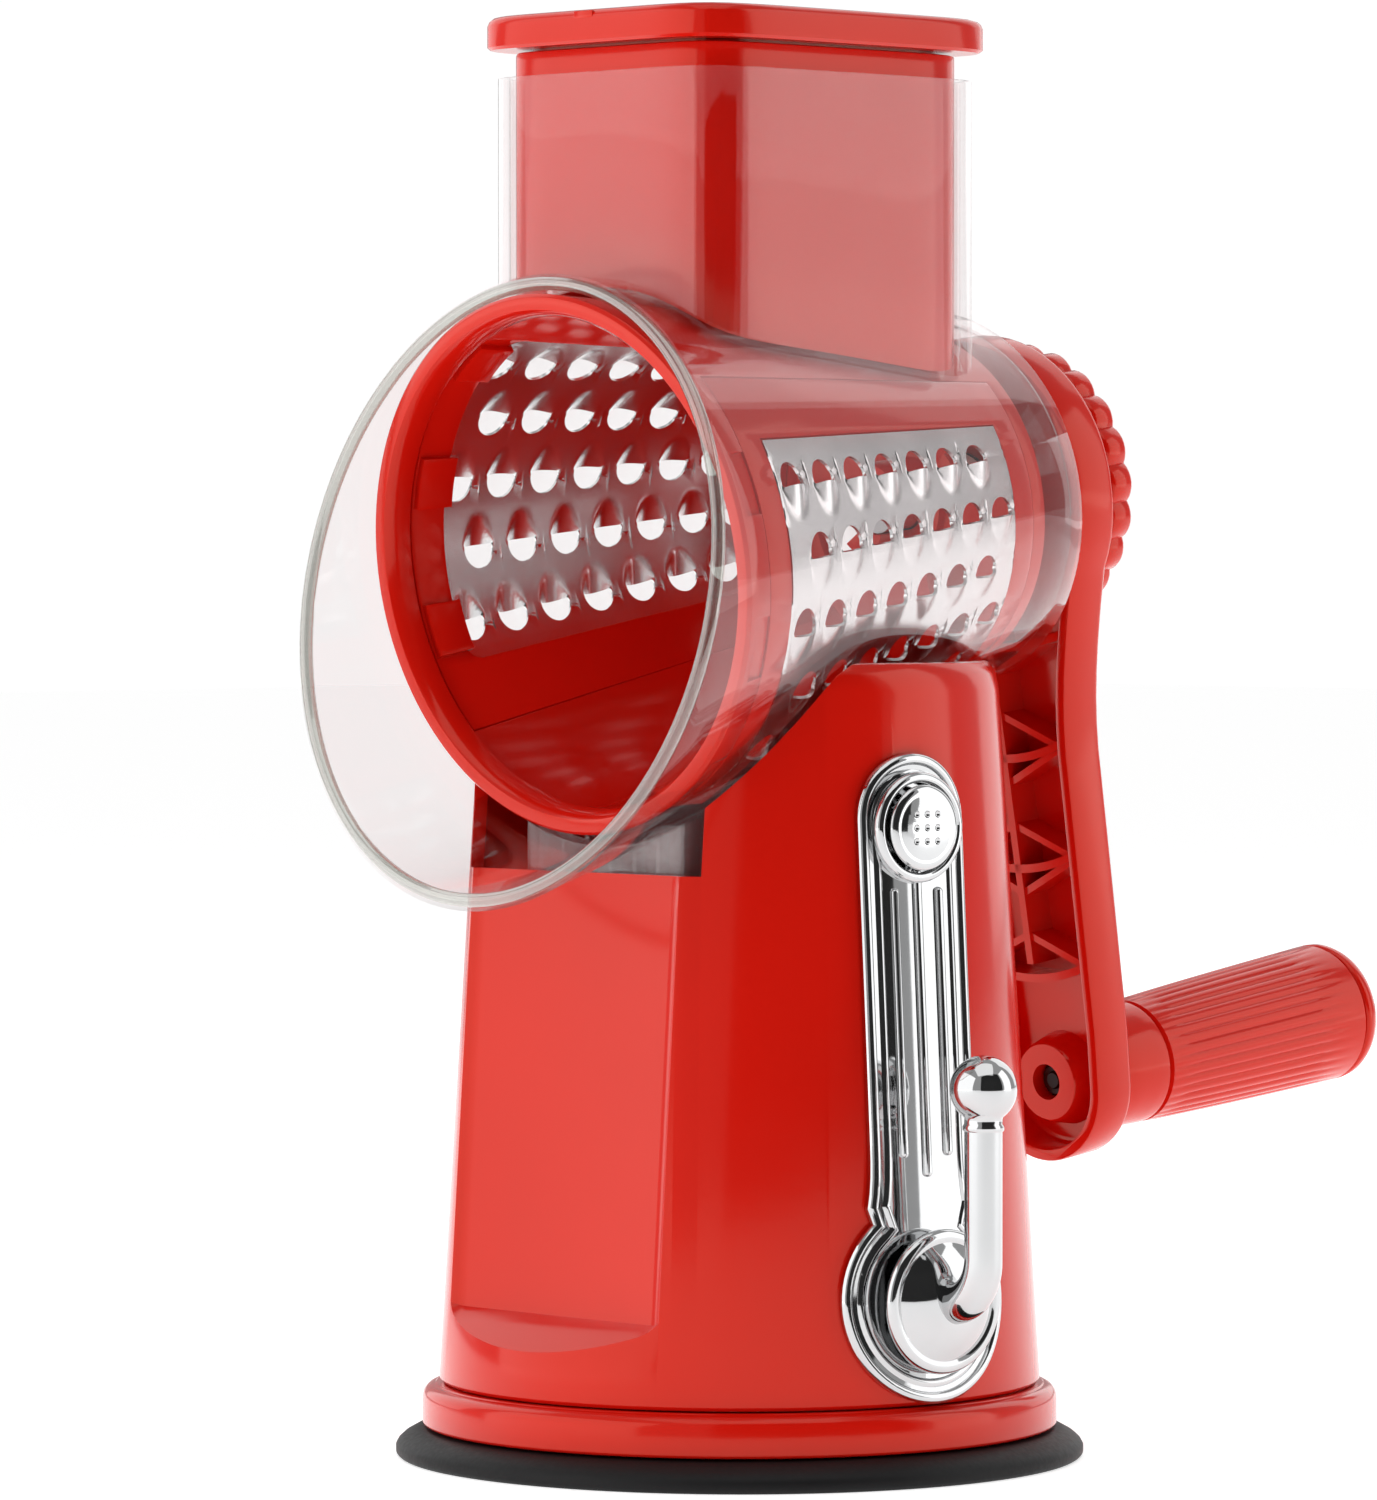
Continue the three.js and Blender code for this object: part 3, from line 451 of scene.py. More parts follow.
def column_radius(z):
    return COLUMN_BASE_RADIUS - COLUMN_TAPER * (z - COLUMN_FOOT_Z)


def barrel_radius(s):
    return BARREL_REAR_RADIUS + BARREL_CONE * (BARREL_REAR_S - s)


def outward(z, out=0.0):
    """Where a piece drawn along Z stands on the column's side, pointing out."""
    return SIDE @ Matrix.Translation((out * MM, 0, z * MM)) @ Matrix.Rotation(
        math.pi / 2, 4, "Y")


def panel_y(z):
    return PANEL_FOOT_Y + PANEL_LEAN * (z - PANEL_FOOT_Z)


def pick(piece, kind, test):
    """In edit mode, selects the vertices, edges or faces that pass a test."""
    bpy.ops.mesh.select_mode(type=kind)
    bpy.ops.mesh.select_all(action="DESELECT")
    shape = bmesh.from_edit_mesh(piece.data)
    for part in {"VERT": shape.verts, "EDGE": shape.edges, "FACE": shape.faces}[kind]:
        part.select_set(bool(test(part)))
    bmesh.update_edit_mesh(piece.data)


def middle_of(edge):
    """The middle of an edge, in mm."""
    return (edge.verts[0].co / MM + edge.verts[1].co / MM) / 2


def rounded_edges(piece, test, width, segments):
    """Bevels the edges that pass a test of the edge, its middle and its direction."""
    def passes(edge):
        a, b = (vertex.co / MM for vertex in edge.verts)
        return test(edge, middle_of(edge), (b - a).normalized())

    only(piece)
    bpy.ops.object.mode_set(mode="EDIT")
    pick(piece, "EDGE", passes)
    bpy.ops.mesh.bevel(offset=width * MM, segments=segments, profile=0.5,
                       clamp_overlap=True)
    bpy.ops.object.mode_set(mode="OBJECT")
    return piece


column = turned("column", [(0, COLUMN_FOOT_Z), (61.2, COLUMN_FOOT_Z), (62, 16.2),
                           (column_radius(158), 158), (column_radius(158) - 0.6, 161.4),
                           (column_radius(158) - 2.2, 163.6), (48.6, COLUMN_TOP_Z),
                           (0, COLUMN_TOP_Z)], 144)
panel = raised("panel_tool", [
    (panel_y(PANEL_FOOT_Z), PANEL_FOOT_Z), (panel_y(170), 170), (-90, 170),
    (-90, PANEL_FOOT_Z - (panel_y(PANEL_FOOT_Z) + 90) * 0.66)], -PANEL_HALF, PANEL_HALF)
settle(panel, SIDEWAYS)
rounded_edges(panel, lambda edge, middle, way: abs(abs(middle.x) - PANEL_HALF) < 0.1
              and (middle.y > -55 and way.z > 0.9 or middle.y > -80 and abs(way.y) > 0.5
                   and middle.z < 40 or abs(way.z) > 0.9 and middle.y > -55), 7, 8)
cut(column, panel)
inner = turned("column_room", [(0, 10), (column_radius(10) - COLUMN_WALL, 10),
                               (column_radius(170) - COLUMN_WALL, 170), (0, 170)], 96)
trim = raised("room_trim", [(panel_y(10) + COLUMN_WALL, 5), (panel_y(175) + COLUMN_WALL, 175),
                            (-95, 175), (-95, 5)], -90, 90)
settle(trim, SIDEWAYS)
cut(inner, trim)
cut(column, inner)
cradle = turned("cradle_tool", [(0, TOOL_FRONT_S),
                                (barrel_radius(TOOL_FRONT_S) + 0.6, TOOL_FRONT_S),
                                (barrel_radius(95) + 0.6, 95), (0, 95)], 144)
settle(cradle, ALONG)
cut(column, cradle)
cut(column, block("ledge_tool", -PANEL_HALF, PANEL_HALF, -80, -20, LEDGE_Z, 190))
for height, radius in ((LEVER_Z, 7.3), (BUTTON_Z, 3.6)):
    bore = turned("bore", [(0, 30), (radius, 30), (radius, 80), (0, 80)], 32)
    settle(bore, outward(height))
    cut(column, bore)
only(column)
bpy.ops.object.mode_set(mode="EDIT")
bpy.ops.mesh.select_all(action="SELECT")
bpy.ops.mesh.remove_doubles(threshold=3e-5)
bpy.ops.object.mode_set(mode="OBJECT")
softened(column, 1.0, 3, 34, 34)
fitted(column, glossy_red, "base", "red_plastic", "column_shell")


# ---- suction mechanism ---------------------------------------------------------------------
# Turned and pressed parts inside the column: a stem vulcanised to the pad, its clip, a nylon
# cam on the lever's shaft, the bush it turns in, and the latch with its coil spring.
finish_nodes(satin_steel, "pull_stem", "stem_clip", "cam_shaft", "button_spring")
finish_nodes(pale_nylon, "cam", "shaft_bush", "latch")


# ---- side plate ----------------------------------------------------------------------------
# A keyhole shape pressed from thin chromed steel, bowed round the column: a rolled bead runs
# round its edge, three flutes stand out of its field, and its round end is dished.
STRIP_HALF = 13.3
STRIP_TOP_Z = 132.6
BULB_RADIUS = 20.6

chrome, wire, output = new_material("bright_chrome")
wiped = speckle(wire, 55, 4)
ripple = speckle(wire, 120, 2)
principled(wire, output, Base_Color=mixed(wire, wiped, (0.56, 0.565, 0.57, 1),
                                          (0.66, 0.665, 0.67, 1)),
           Metallic=1.0, Roughness=0.03 + 0.05 * wiped,
           Normal=bump(wire, ripple, 0.00002, 0.35))


def keyhole(grow):
    """The plate's outline, across and up, from the top round to the left and back."""
    half, bulb = STRIP_HALF + grow, BULB_RADIUS + grow
    meet = math.acos(half / bulb)
    points = []
    for i in range(33):
        turn = math.pi * i / 32
        points.append((half * math.cos(turn), STRIP_TOP_Z + half * math.sin(turn)))
    waist = LEVER_Z + bulb * math.sin(meet)
    for i in range(1, 26):
        share = i / 26
        flare = 1.6 * math.exp(-((1 - share) * 14) ** 1.5) if share > 0.6 else 0
        points.append((-half - flare, STRIP_TOP_Z + (waist - STRIP_TOP_Z) * share))
    start, end = math.pi - meet, 2 * math.pi + meet
    for i in range(57):
        turn = start + (end - start) * i / 56
        points.append((bulb * math.cos(turn), LEVER_Z + bulb * math.sin(turn)))
    for i in range(25, 0, -1):
        share = i / 26
        flare = 1.6 * math.exp(-((1 - share) * 14) ** 1.5) if share > 0.6 else 0
        points.append((half + flare, STRIP_TOP_Z + (waist - STRIP_TOP_Z) * share))
    return points


def bowed(piece, base):
    """Wraps a flat pressing, drawn across x and up y, round the column's side."""
    for vertex in piece.data.vertices:
        across, up, out = vertex.co / MM
        radius = column_radius(up) + base
        turn = across / radius
        vertex.co = Vector(((radius + out) * math.cos(turn), (radius + out) * math.sin(turn),
                            up)) * MM
    return settle(piece, SIDE)


def edge_step(thickness, depth):
    bpy.ops.mesh.inset(thickness=thickness * MM, depth=depth * MM, use_even_offset=True)


def sliced(xs, ys):
    for x in xs:
        bpy.ops.mesh.select_all(action="SELECT")
        bpy.ops.mesh.bisect(plane_co=(x * MM, 0, 0), plane_no=(1, 0, 0))
    for y in ys:
        bpy.ops.mesh.select_all(action="SELECT")
        bpy.ops.mesh.bisect(plane_co=(0, y * MM, 0), plane_no=(0, 1, 0))


plate = drawn("side_plate_pressing", [(x, y, 0) for x, y in keyhole(0)][::-1], closed=True)
bpy.ops.mesh.select_all(action="SELECT")
bpy.ops.mesh.normals_make_consistent(inside=False)
extruded((0, 0, 1.2 * MM))
pick(plate, "FACE", lambda face: face.calc_center_median().z > 1.1 * MM)
for thickness, depth in ((0.35, 0.45), (0.35, 0.25), (0.5, 0.1), (0.5, -0.1), (0.35, -0.25),
                         (0.3, -0.55), (0.9, -0.15), (0.5, 0.3), (0.4, 0.1), (0.5, -0.1),
                         (0.4, -0.35)):
    edge_step(thickness, depth)
sliced([-18 + 2 * i for i in range(19)], [20 + 4 * i for i in range(31)])
closed_up()
flutes = []
for x, low, high in ((-5.6, 66, 118), (0, 62, 122), (5.6, 66, 118)):
    flute = turned("flute", [(0, -1), (1.0, -1), (1.0, 0), (0.9, 0.5), (0.62, 0.88),
                             (0.32, 1.02), (0, 1.06)], 24)
    bpy.ops.object.mode_set(mode="EDIT")
    bpy.ops.mesh.select_mode(type="VERT")
    bpy.ops.mesh.select_all(action="SELECT")
    bpy.ops.mesh.bisect(plane_co=(0, 0, 0), plane_no=(0, 1, 0))
    pick(flute, "VERT", lambda vertex: vertex.co.y > 1e-6)
    bpy.ops.transform.translate(value=(0, (high - low) * MM, 0))
    sliced([], [4 * i for i in range(1, 16)])
    bpy.ops.object.mode_set(mode="OBJECT")
    flutes.append(settle(flute, Matrix.Translation((x * MM, low * MM, 0.9 * MM))))
plate = joined([plate] + flutes)
bowed(plate, 0.4)
smoothed(plate, 38)
fitted(plate, chrome, "base", "chrome", "side_plate")


# ---- button collar and release button ------------------------------------------------------
# A chromed push button with nine dimples for the thumb, in a pressed collar. A thin dark gap
# runs round it, and it drives the latch behind the column's wall.
BUTTON_RADIUS = 8.6
BUTTON_FACE_X = 60.6

collar = turned("button_collar", [(9.0, 57.3), (9.1, 58.3), (9.4, 58.75), (9.9, 58.9),
                                  (10.5, 58.75), (11.0, 58.3), (11.3, 57.3), (10.6, 56.2),
                                  (9.2, 56.2), (9.0, 57.3)], 72)
settle(collar, outward(BUTTON_Z))
smoothed(collar, 60)
fitted(collar, chrome, "base", "chrome")

button = turned("release_button_cap", [
    (0, 59.0), (BUTTON_RADIUS - 0.2, 59.0), (BUTTON_RADIUS, 59.2), (BUTTON_RADIUS, 59.5),
    (BUTTON_RADIUS - 0.25, 59.85), (BUTTON_RADIUS - 0.8, 60.15), (BUTTON_RADIUS - 1.6, 60.3),
    (BUTTON_RADIUS - 1.9, 60.22), (BUTTON_RADIUS - 2.2, 60.3), (4, 60.5),
    (0, BUTTON_FACE_X - 0.05)], 72)
for across in (-2.7, 0, 2.7):
    for up in (-2.7, 0, 2.7):
        plain_deselect()
        bpy.ops.mesh.primitive_uv_sphere_add(segments=16, ring_count=10, radius=0.85 * MM,
                                             location=(up * MM, across * MM, 60.85 * MM))
        dimple = bpy.context.object
        settle(dimple, dimple.matrix_world.copy())
        cut(button, dimple)
settle(button, outward(BUTTON_Z))
smoothed(button, 40)
fitted(button, chrome, "button", "chrome", "release_button")


# ---- lever ---------------------------------------------------------------------------------
# A polished chrome lever: a domed hub pressed on its shaft, a round arm that sweeps out of
# the hub and stands parallel to the column, and a ball with a small neck screwed on its end.
HUB_X = 64.5
HUB_RADIUS = 14.6
ARM_X = 77.9
ARM_RADIUS = 3.8
BALL_RADIUS = 6.77
BALL_Z = 79.6

hub = turned("lever_hub_dome", [
    (0, 0), (13.4, 0), (14.3, 0.25), (HUB_RADIUS, 0.9), (14.5, 1.6), (14.0, 2.2), (13.2, 2.5),
    (12.4, 2.35), (11.9, 2.2), (11.2, 2.7), (9.6, 3.9), (7.6, 4.9), (5.2, 5.6), (2.6, 5.9),
    (0, 6)], base=HUB_X)
settle(hub, outward(LEVER_Z))
smoothed(hub, 50)
fitted(hub, chrome, "suction_lever", "chrome", "lever_hub")

plain_deselect()
bpy.ops.mesh.primitive_circle_add(vertices=40, radius=(ARM_RADIUS + 0.5) * MM,
                                  fill_type="NGON", location=(0, 0, (HUB_X + 4.2) * MM))
arm = bpy.context.object
arm.name = "lever_rod"
bpy.ops.object.transform_apply(location=True)
bpy.ops.object.mode_set(mode="EDIT")
bpy.ops.mesh.select_all(action="SELECT")
bend = ARM_X - HUB_X - 4.2
steps = 14
for i in range(1, steps + 1):
    turn = math.pi / 2 * i / steps
    last = math.pi / 2 * (i - 1) / steps
    step = Vector((-bend * (math.cos(last) - math.cos(turn)), 0,
                   bend * (math.sin(turn) - math.sin(last)))) * MM
    extruded(step)
    middle = Vector((-bend * (1 - math.cos(turn)), 0, HUB_X + 4.2 + bend * math.sin(turn))) * MM
    bpy.ops.transform.rotate(value=math.pi / 2 / steps, orient_axis="Y",
                             center_override=middle)
    thin = (ARM_RADIUS + 0.5 * (1 - i / steps)) / (ARM_RADIUS + 0.5 * (1 - (i - 1) / steps))
    bpy.ops.transform.resize(value=(thin, thin, thin), center_override=middle)
rise = BALL_Z - BALL_RADIUS - LEVER_Z - bend
for share in (0.3, 0.3, 0.4):
    extruded((-rise * share * MM, 0, 0))
closed_up()
settle(arm, outward(LEVER_Z))
smoothed(arm, 40)
fitted(arm, chrome, "suction_lever", "chrome", "lever_arm")

ball_profile = [(0, -8.4), (3.9, -8.4), (4.15, -8.1), (4.15, -7.3), (3.85, -6.9),
                (3.8, -6.1), (3.9, -5.57)]
for i in range(1, 17):
    turn = math.radians(-55 + 145 * i / 16)
    ball_profile.append((BALL_RADIUS * math.cos(turn) if i < 16 else 0,
                         BALL_RADIUS * math.sin(turn)))
ball = turned("lever_ball_knob", ball_profile, 72)
settle(ball, SIDE @ Matrix.Translation((ARM_X * MM, 0, BALL_Z * MM)))
smoothed(ball, 50)
fitted(ball, chrome, "suction_lever", "chrome", "lever_ball")


# ---- clear housing -------------------------------------------------------------------------
# Injection moulded in one piece of clear plastic: a tapering barrel with a slanted mouth, an
# upright hopper that flows into it with a soft fillet, and a thicker flared lip at both ends.
HOPPER_HALF_X = 34.7
HOPPER_HALF_Y = 41.4
HOPPER_TOP_Z = 288.6
HOPPER_Y = -1.2
LIP_HEIGHT = 4.2
LIP_OUT = 1.6
BARREL_WALL = 2.4
MOUTH_S = -48.6
MOUTH_SLOPE = 0.302
MOUTH_DROP = 61


def edge_on(wire):
    """From 0 where a face is met square to 1 where it is met edge-on."""
    return wire.node("ShaderNodeLayerWeight", (), {"Blend": 0.5}, out=1)


def see_through(wire, output, gloss, tint, share):
    """A clear wall with this share of gloss over it."""
    through = wire.node("ShaderNodeBsdfTransparent", (), {"Color": (*tint, 1)})
    wall = wire.node("ShaderNodeMixShader", (), {0: share, 1: through, 2: gloss})
    wire.tree.links.new(wall.socket, output.inputs["Surface"])


clear_plastic, wire, output = new_material("clear_plastic")
sheen = speckle(wire, 30, 2)
facing = edge_on(wire)
gloss = principled(wire, None, Base_Color=(0.93, 0.90, 0.90, 1), Metallic=1.0,
                   Roughness=0.03 + 0.03 * sheen,
                   Normal=bump(wire, sheen, 0.00005, 0.25))
see_through(wire, output, gloss, (0.97, 0.955, 0.955), 0.035 + 0.74 * facing ** 4.0
            + 0.01 * sheen)


def loaf(half_x, half_y, steps=88):
    """A rectangle with bowed sides and round corners, the hopper's outline."""
    points = []
    for i in range(steps):
        turn = 2 * math.pi * i / steps
        c, s = math.cos(turn), math.sin(turn)
        reach = (abs(c) ** 7 + abs(s) ** 7) ** (-1 / 7)
        points.append((half_x * c * reach, half_y * s * reach + HOPPER_Y))
    return points


housing = turned("housing_shell", [(0, -110)] + [
    (barrel_radius(-110 + 172.2 * i / 12), -110 + 172.2 * i / 12) for i in range(12)] + [
    (barrel_radius(61.2), 61.2), (barrel_radius(62.2) - 0.9, 62.2), (0, 62.2)], 144)
settle(housing, ALONG)
hopper = raised("hopper", loaf(HOPPER_HALF_X, HOPPER_HALF_Y), BARREL_Z, HOPPER_TOP_Z)
cut(housing, hopper, "UNION")
slant = BARREL @ Matrix.Translation((0, (MOUTH_S + 1.1) * MM, barrel_radius(MOUTH_S) * MM)) @ (
    Matrix.Rotation(-math.atan(MOUTH_SLOPE), 4, "X"))
only(housing)
bpy.ops.object.mode_set(mode="EDIT")
bpy.ops.mesh.select_all(action="SELECT")
bpy.ops.mesh.remove_doubles(threshold=2e-5)
bpy.ops.mesh.select_all(action="SELECT")
bpy.ops.mesh.bisect(plane_co=slant.translation, plane_no=slant.to_3x3() @ Vector((0, 1, 0)),
                    clear_inner=True, use_fill=False)
pick(housing, "FACE", lambda face: face.calc_center_median().z > (HOPPER_TOP_Z - 0.05) * MM)
bpy.ops.mesh.delete(type="FACE")
pick(housing, "EDGE", lambda edge: len(edge.link_faces) == 1
     and middle_of(edge).z < HOPPER_TOP_Z - 5)
bpy.ops.mesh.duplicate_move()
bpy.ops.mesh.separate(type="SELECTED")
bpy.ops.object.mode_set(mode="OBJECT")
mouth_lip = [piece for piece in bpy.context.selected_objects if piece is not housing][0]
mouth_lip.name = "mouth_lip"
only(mouth_lip)
bpy.ops.object.convert(target="CURVE")
mouth_lip.data.bevel_depth = 1.45 * MM
mouth_lip.data.bevel_resolution = 4
bpy.ops.object.convert(target="MESH")
lip_centre = slant.translation + slant.to_3x3() @ Vector((0, 0, -MOUTH_DROP * MM))
inset_lip = Matrix.Translation(lip_centre) @ Matrix.Diagonal((0.968, 0.968, 0.968, 1)) @ (
    Matrix.Translation(-lip_centre))
settle(mouth_lip, inset_lip)


def is_seam(edge, middle, way):
    if len(edge.link_faces) != 2 or middle.z < BARREL_Z + 5 or middle.z > 262:
        return False
    return edge.calc_face_angle(0) > math.radians(24) and abs(way.z) < 0.93 or (
        edge.calc_face_angle(0) > math.radians(40))


rounded_edges(housing, is_seam, 3.2, 5)
bpy.ops.object.mode_set(mode="EDIT")
pick(housing, "VERT", lambda vertex: vertex.co.z > (HOPPER_TOP_Z - 0.05) * MM)
bpy.ops.transform.translate(value=(0, 0, -(LIP_HEIGHT + 1.2) * MM))
grown = 1.0
for out, up in ((0.5, 0.3), (LIP_OUT, 0.9), (LIP_OUT, LIP_HEIGHT)):
    reach = 1 + out / HOPPER_HALF_X
    extruded((0, 0, up * MM))
    bpy.ops.transform.resize(value=(reach / grown, (1 + out / HOPPER_HALF_Y) / (
        1 + (grown - 1) * HOPPER_HALF_X / HOPPER_HALF_Y), 1),
        center_override=(0, HOPPER_Y * MM, 0))
    grown = reach
bpy.ops.object.mode_set(mode="OBJECT")
bore = turned("bore", [(0, 50), (9.3, 50), (9.3, 80), (0, 80)], 64)
settle(bore, ALONG)
applied(housing, "SOLIDIFY", thickness=BARREL_WALL * MM, offset=-1, use_even_offset=False)
cut(housing, bore)
softened(housing, 0.7, 3, 55, 38)
fitted(housing, clear_plastic, "housing_body", "clear_plastic", "housing")

# the mouth's thick rounded edge gathers the light and reads grey-green, like cut glass
clear_edge, wire, output = new_material("clear_plastic_edge")
sheen = speckle(wire, 40, 2)
facing = edge_on(wire)
gloss = principled(wire, None, Base_Color=(0.80, 0.80, 0.78, 1), Metallic=1.0,
                   Roughness=0.05 + 0.05 * sheen, Normal=bump(wire, sheen, 0.00005, 0.25))
see_through(wire, output, gloss, (0.74, 0.75, 0.72), 0.16 + 0.75 * facing ** 1.6)
smoothed(mouth_lip, 60)
fitted(mouth_lip, clear_edge, "housing_body", "clear_plastic")


# ---- housing foot --------------------------------------------------------------------------
# The clear foot under the barrel is a box with ribbed sides that drops into the column's
# socket. Its floor is open, and a slot in one side lets the latch in.
FOOT_HALF_X = 24
FOOT_FRONT_Y = -39.1
FOOT_BACK_Y = 23.9
FOOT_LOW_Z = 108
FOOT_WALL = 2.6

foot = block("housing_foot", -FOOT_HALF_X, FOOT_HALF_X, FOOT_FRONT_Y, FOOT_BACK_Y,
             FOOT_LOW_Z, 172)
rounded_edges(foot, lambda edge, middle, way: abs(way.z) > 0.9, 3, 4)
barrel_tool = turned("barrel_tool", [(0, TOOL_FRONT_S),
                                     (barrel_radius(TOOL_FRONT_S) - 0.5, TOOL_FRONT_S),
                                     (barrel_radius(62) - 0.5, 62), (0, 62)], 96)
settle(barrel_tool, ALONG)
cut(foot, barrel_tool)
cut(foot, block("foot_room", -FOOT_HALF_X + FOOT_WALL, FOOT_HALF_X - FOOT_WALL,
                FOOT_FRONT_Y + FOOT_WALL, FOOT_BACK_Y - FOOT_WALL, 100, 175))
cut(foot, block("latch_slot", 15, 30, -6.6, 6.6, 100, 135.4))
for x in (-14, -7, 0, 7, 14):
    foot = joined([foot, block("foot_rib", x - 0.6, x + 0.6, FOOT_FRONT_Y + 2.4,
                               FOOT_FRONT_Y + 5, FOOT_LOW_Z + 2, 129.4)])
frosted_clear, wire, output = new_material("ribbed_clear_plastic")
haze = speckle(wire, 120, 3)
facing = edge_on(wire)
gloss = principled(wire, None, Base_Color=mixed(wire, haze, (0.62, 0.56, 0.56, 1),
                                                (0.85, 0.81, 0.81, 1)),
                   Metallic=0.35, Roughness=0.08 + 0.10 * haze,
                   Normal=bump(wire, haze, 0.00012, 0.4))
see_through(wire, output, gloss, (0.95, 0.93, 0.93), 0.26 + 0.6 * facing ** 3.0)
softened(foot, 0.35, 2, 40, 40)
fitted(foot, frosted_clear, "housing_body", "clear_plastic")


# ---- pusher --------------------------------------------------------------------------------
# A hollow red plunger blown to the hopper's shape, hollowed below to follow the drum, and
# closed by a clipped-on lid with a rounded edge and a small tab at its front.
PUSHER_HALF_X = 31.8
PUSHER_HALF_Y = 38.5

plunger = raised("pusher_plunger", loaf(PUSHER_HALF_X, PUSHER_HALF_Y), BARREL_Z + 4, 288.4)
drum_room = turned("drum_room", [(0, TOOL_FRONT_S),
                                 (barrel_radius(TOOL_FRONT_S) - 1.7, TOOL_FRONT_S),
                                 (barrel_radius(92) - 1.7, 92), (0, 92)], 144)
settle(drum_room, ALONG)
cut(plunger, drum_room)
rounded_edges(plunger, lambda edge, middle, way: middle.z < 262 and abs(way.z) < 0.93
              and len(edge.link_faces) == 2 and edge.calc_face_angle(0) > math.radians(50),
              1.4, 3)
softened(plunger, 0.6, 2, 60, 40)
fitted(plunger, glossy_red, "pusher", "red_plastic", "pusher_shell")

lid_x, lid_y = HOPPER_HALF_X + 1.7, HOPPER_HALF_Y + 1.7
half_x, half_y, height = 22, 28.7, 284.5
lid = drawn("pusher_lid", [(x * half_x, HOPPER_Y + (y - HOPPER_Y) * half_y, height)
                           for x, y in loaf(1, 1)], closed=True)
for to_x, to_y, to_z in (
        (28.4, 35.1, 284.5), (29.0, 35.7, 285.1), (29.0, 35.7, 288.9),
        (lid_x - 0.6, lid_y - 0.6, 288.9), (lid_x, lid_y, 289.5), (lid_x, lid_y, 293.9),
        (lid_x - 0.3, lid_y - 0.3, 294.8), (lid_x - 0.9, lid_y - 0.9, 295.4),
        (lid_x - 1.8, lid_y - 1.8, 295.7), (lid_x - 5.2, lid_y - 5.2, 295.7),
        (lid_x - 5.8, lid_y - 5.8, 295.5), (lid_x - 6.4, lid_y - 6.4, 294.9),
        (lid_x - 7.2, lid_y - 7.2, 294.7), (lid_x - 16, lid_y - 19, 294.7)):
    extruded((0, 0, (to_z - height) * MM))
    bpy.ops.transform.resize(value=(to_x / half_x, to_y / half_y, 1),
                             center_override=(0, HOPPER_Y * MM, 0))
    half_x, half_y, height = to_x, to_y, to_z
closed_up()
plain_deselect()
bpy.ops.mesh.primitive_cube_add(size=1, location=(
    0, (HOPPER_Y - HOPPER_HALF_Y - 1.35) * MM, 294.6 * MM))
tab = bpy.context.object
settle(tab, Matrix.Translation(tab.location) @ Matrix.Diagonal(
    (5.5 * MM, 0.8 * MM, 1.6 * MM, 1)))
softened(tab, 0.25, 2, 30, 40)
lid = joined([lid, tab])
smoothed(lid, 38)
fitted(lid, glossy_red, "pusher", "red_plastic", "pusher_cap")


# ---- bearing bush and seal -----------------------------------------------------------------
# A nylon bush pressed into the housing's rear wall, with a rubber washer behind the crank.
finish_nodes(pale_nylon, "bearing_bush")
finish_nodes(black_rubber, "hub_seal")
finish_nodes(satin_steel, "drive_shaft")


# ---- drum frame ----------------------------------------------------------------------------
# The red cage that the grating panels clip into: a front ring with a stepped inner edge and
# raised lands, a rear wall with four windows and the shaft's socket, and two long bridges.
DRUM_INSET = 4.4
DRUM_WALL = 2.4
DRUM_FRONT_S = -52
DRUM_REAR_S = 54
RING_LENGTH = 7
REAR_LENGTH = 5
BRIDGE_HALF = math.radians(28)
WINDOW_HALF = math.radians(45)
DRUM_TURN = math.radians(18.5)
IN_DRUM = ALONG @ Matrix.Rotation(DRUM_TURN, 4, "Z")
WINDOW_FRONT_S = -37.5
WINDOW_REAR_S = 42
TAB_TURNS = (-0.62, 0, 0.62)
SHAFT_BORE = 5.3


def drum_radius(s):
    return barrel_radius(s) - DRUM_INSET


def wedge_tool(half, low, high, middle=0.0, inner=0.0, outer=90.0, steps=24):
    """A sector of a ring about the drum's axis, its middle this far round from +X."""
    outline = []
    for i in range(steps + 1):
        turn = middle - half + 2 * half * i / steps
        outline.append((outer * math.cos(turn), outer * math.sin(turn)))
    if inner:
        for i in range(steps, -1, -1):
            turn = middle - half + 2 * half * i / steps
            outline.append((inner * math.cos(turn), inner * math.sin(turn)))
    else:
        outline.append((0, 0))
    return raised("wedge_tool", outline, low, high)


def drum_band(name, low, high, out=0.0, wall=DRUM_WALL, sides=144):
    return turned(name, [(drum_radius(low) + out - wall, low), (drum_radius(low) + out, low),
                         (drum_radius(high) + out, high), (drum_radius(high) + out - wall, high),
                         (drum_radius(low) + out - wall, low)], sides)


front_r, rear_r = drum_radius(DRUM_FRONT_S), drum_radius(DRUM_REAR_S)
step_r, lip_r = drum_radius(-46) - DRUM_WALL, drum_radius(-50) - DRUM_WALL
cage = turned("drum_cage", [
    (front_r - DRUM_WALL - 0.8, DRUM_FRONT_S), (front_r - 0.7, DRUM_FRONT_S),
    (front_r, DRUM_FRONT_S + 0.7), (rear_r, DRUM_REAR_S - 0.8), (rear_r - 0.8, DRUM_REAR_S),
    (SHAFT_BORE, DRUM_REAR_S), (SHAFT_BORE, 40), (10, 38), (10, DRUM_REAR_S - 3),
    (drum_radius(DRUM_REAR_S - 3) - DRUM_WALL - 0.6, DRUM_REAR_S - 3), (step_r, -46),
    (step_r - 1.6, -46.4), (lip_r - 1.6, -50.4),
    (front_r - DRUM_WALL - 0.8, DRUM_FRONT_S)], 144)
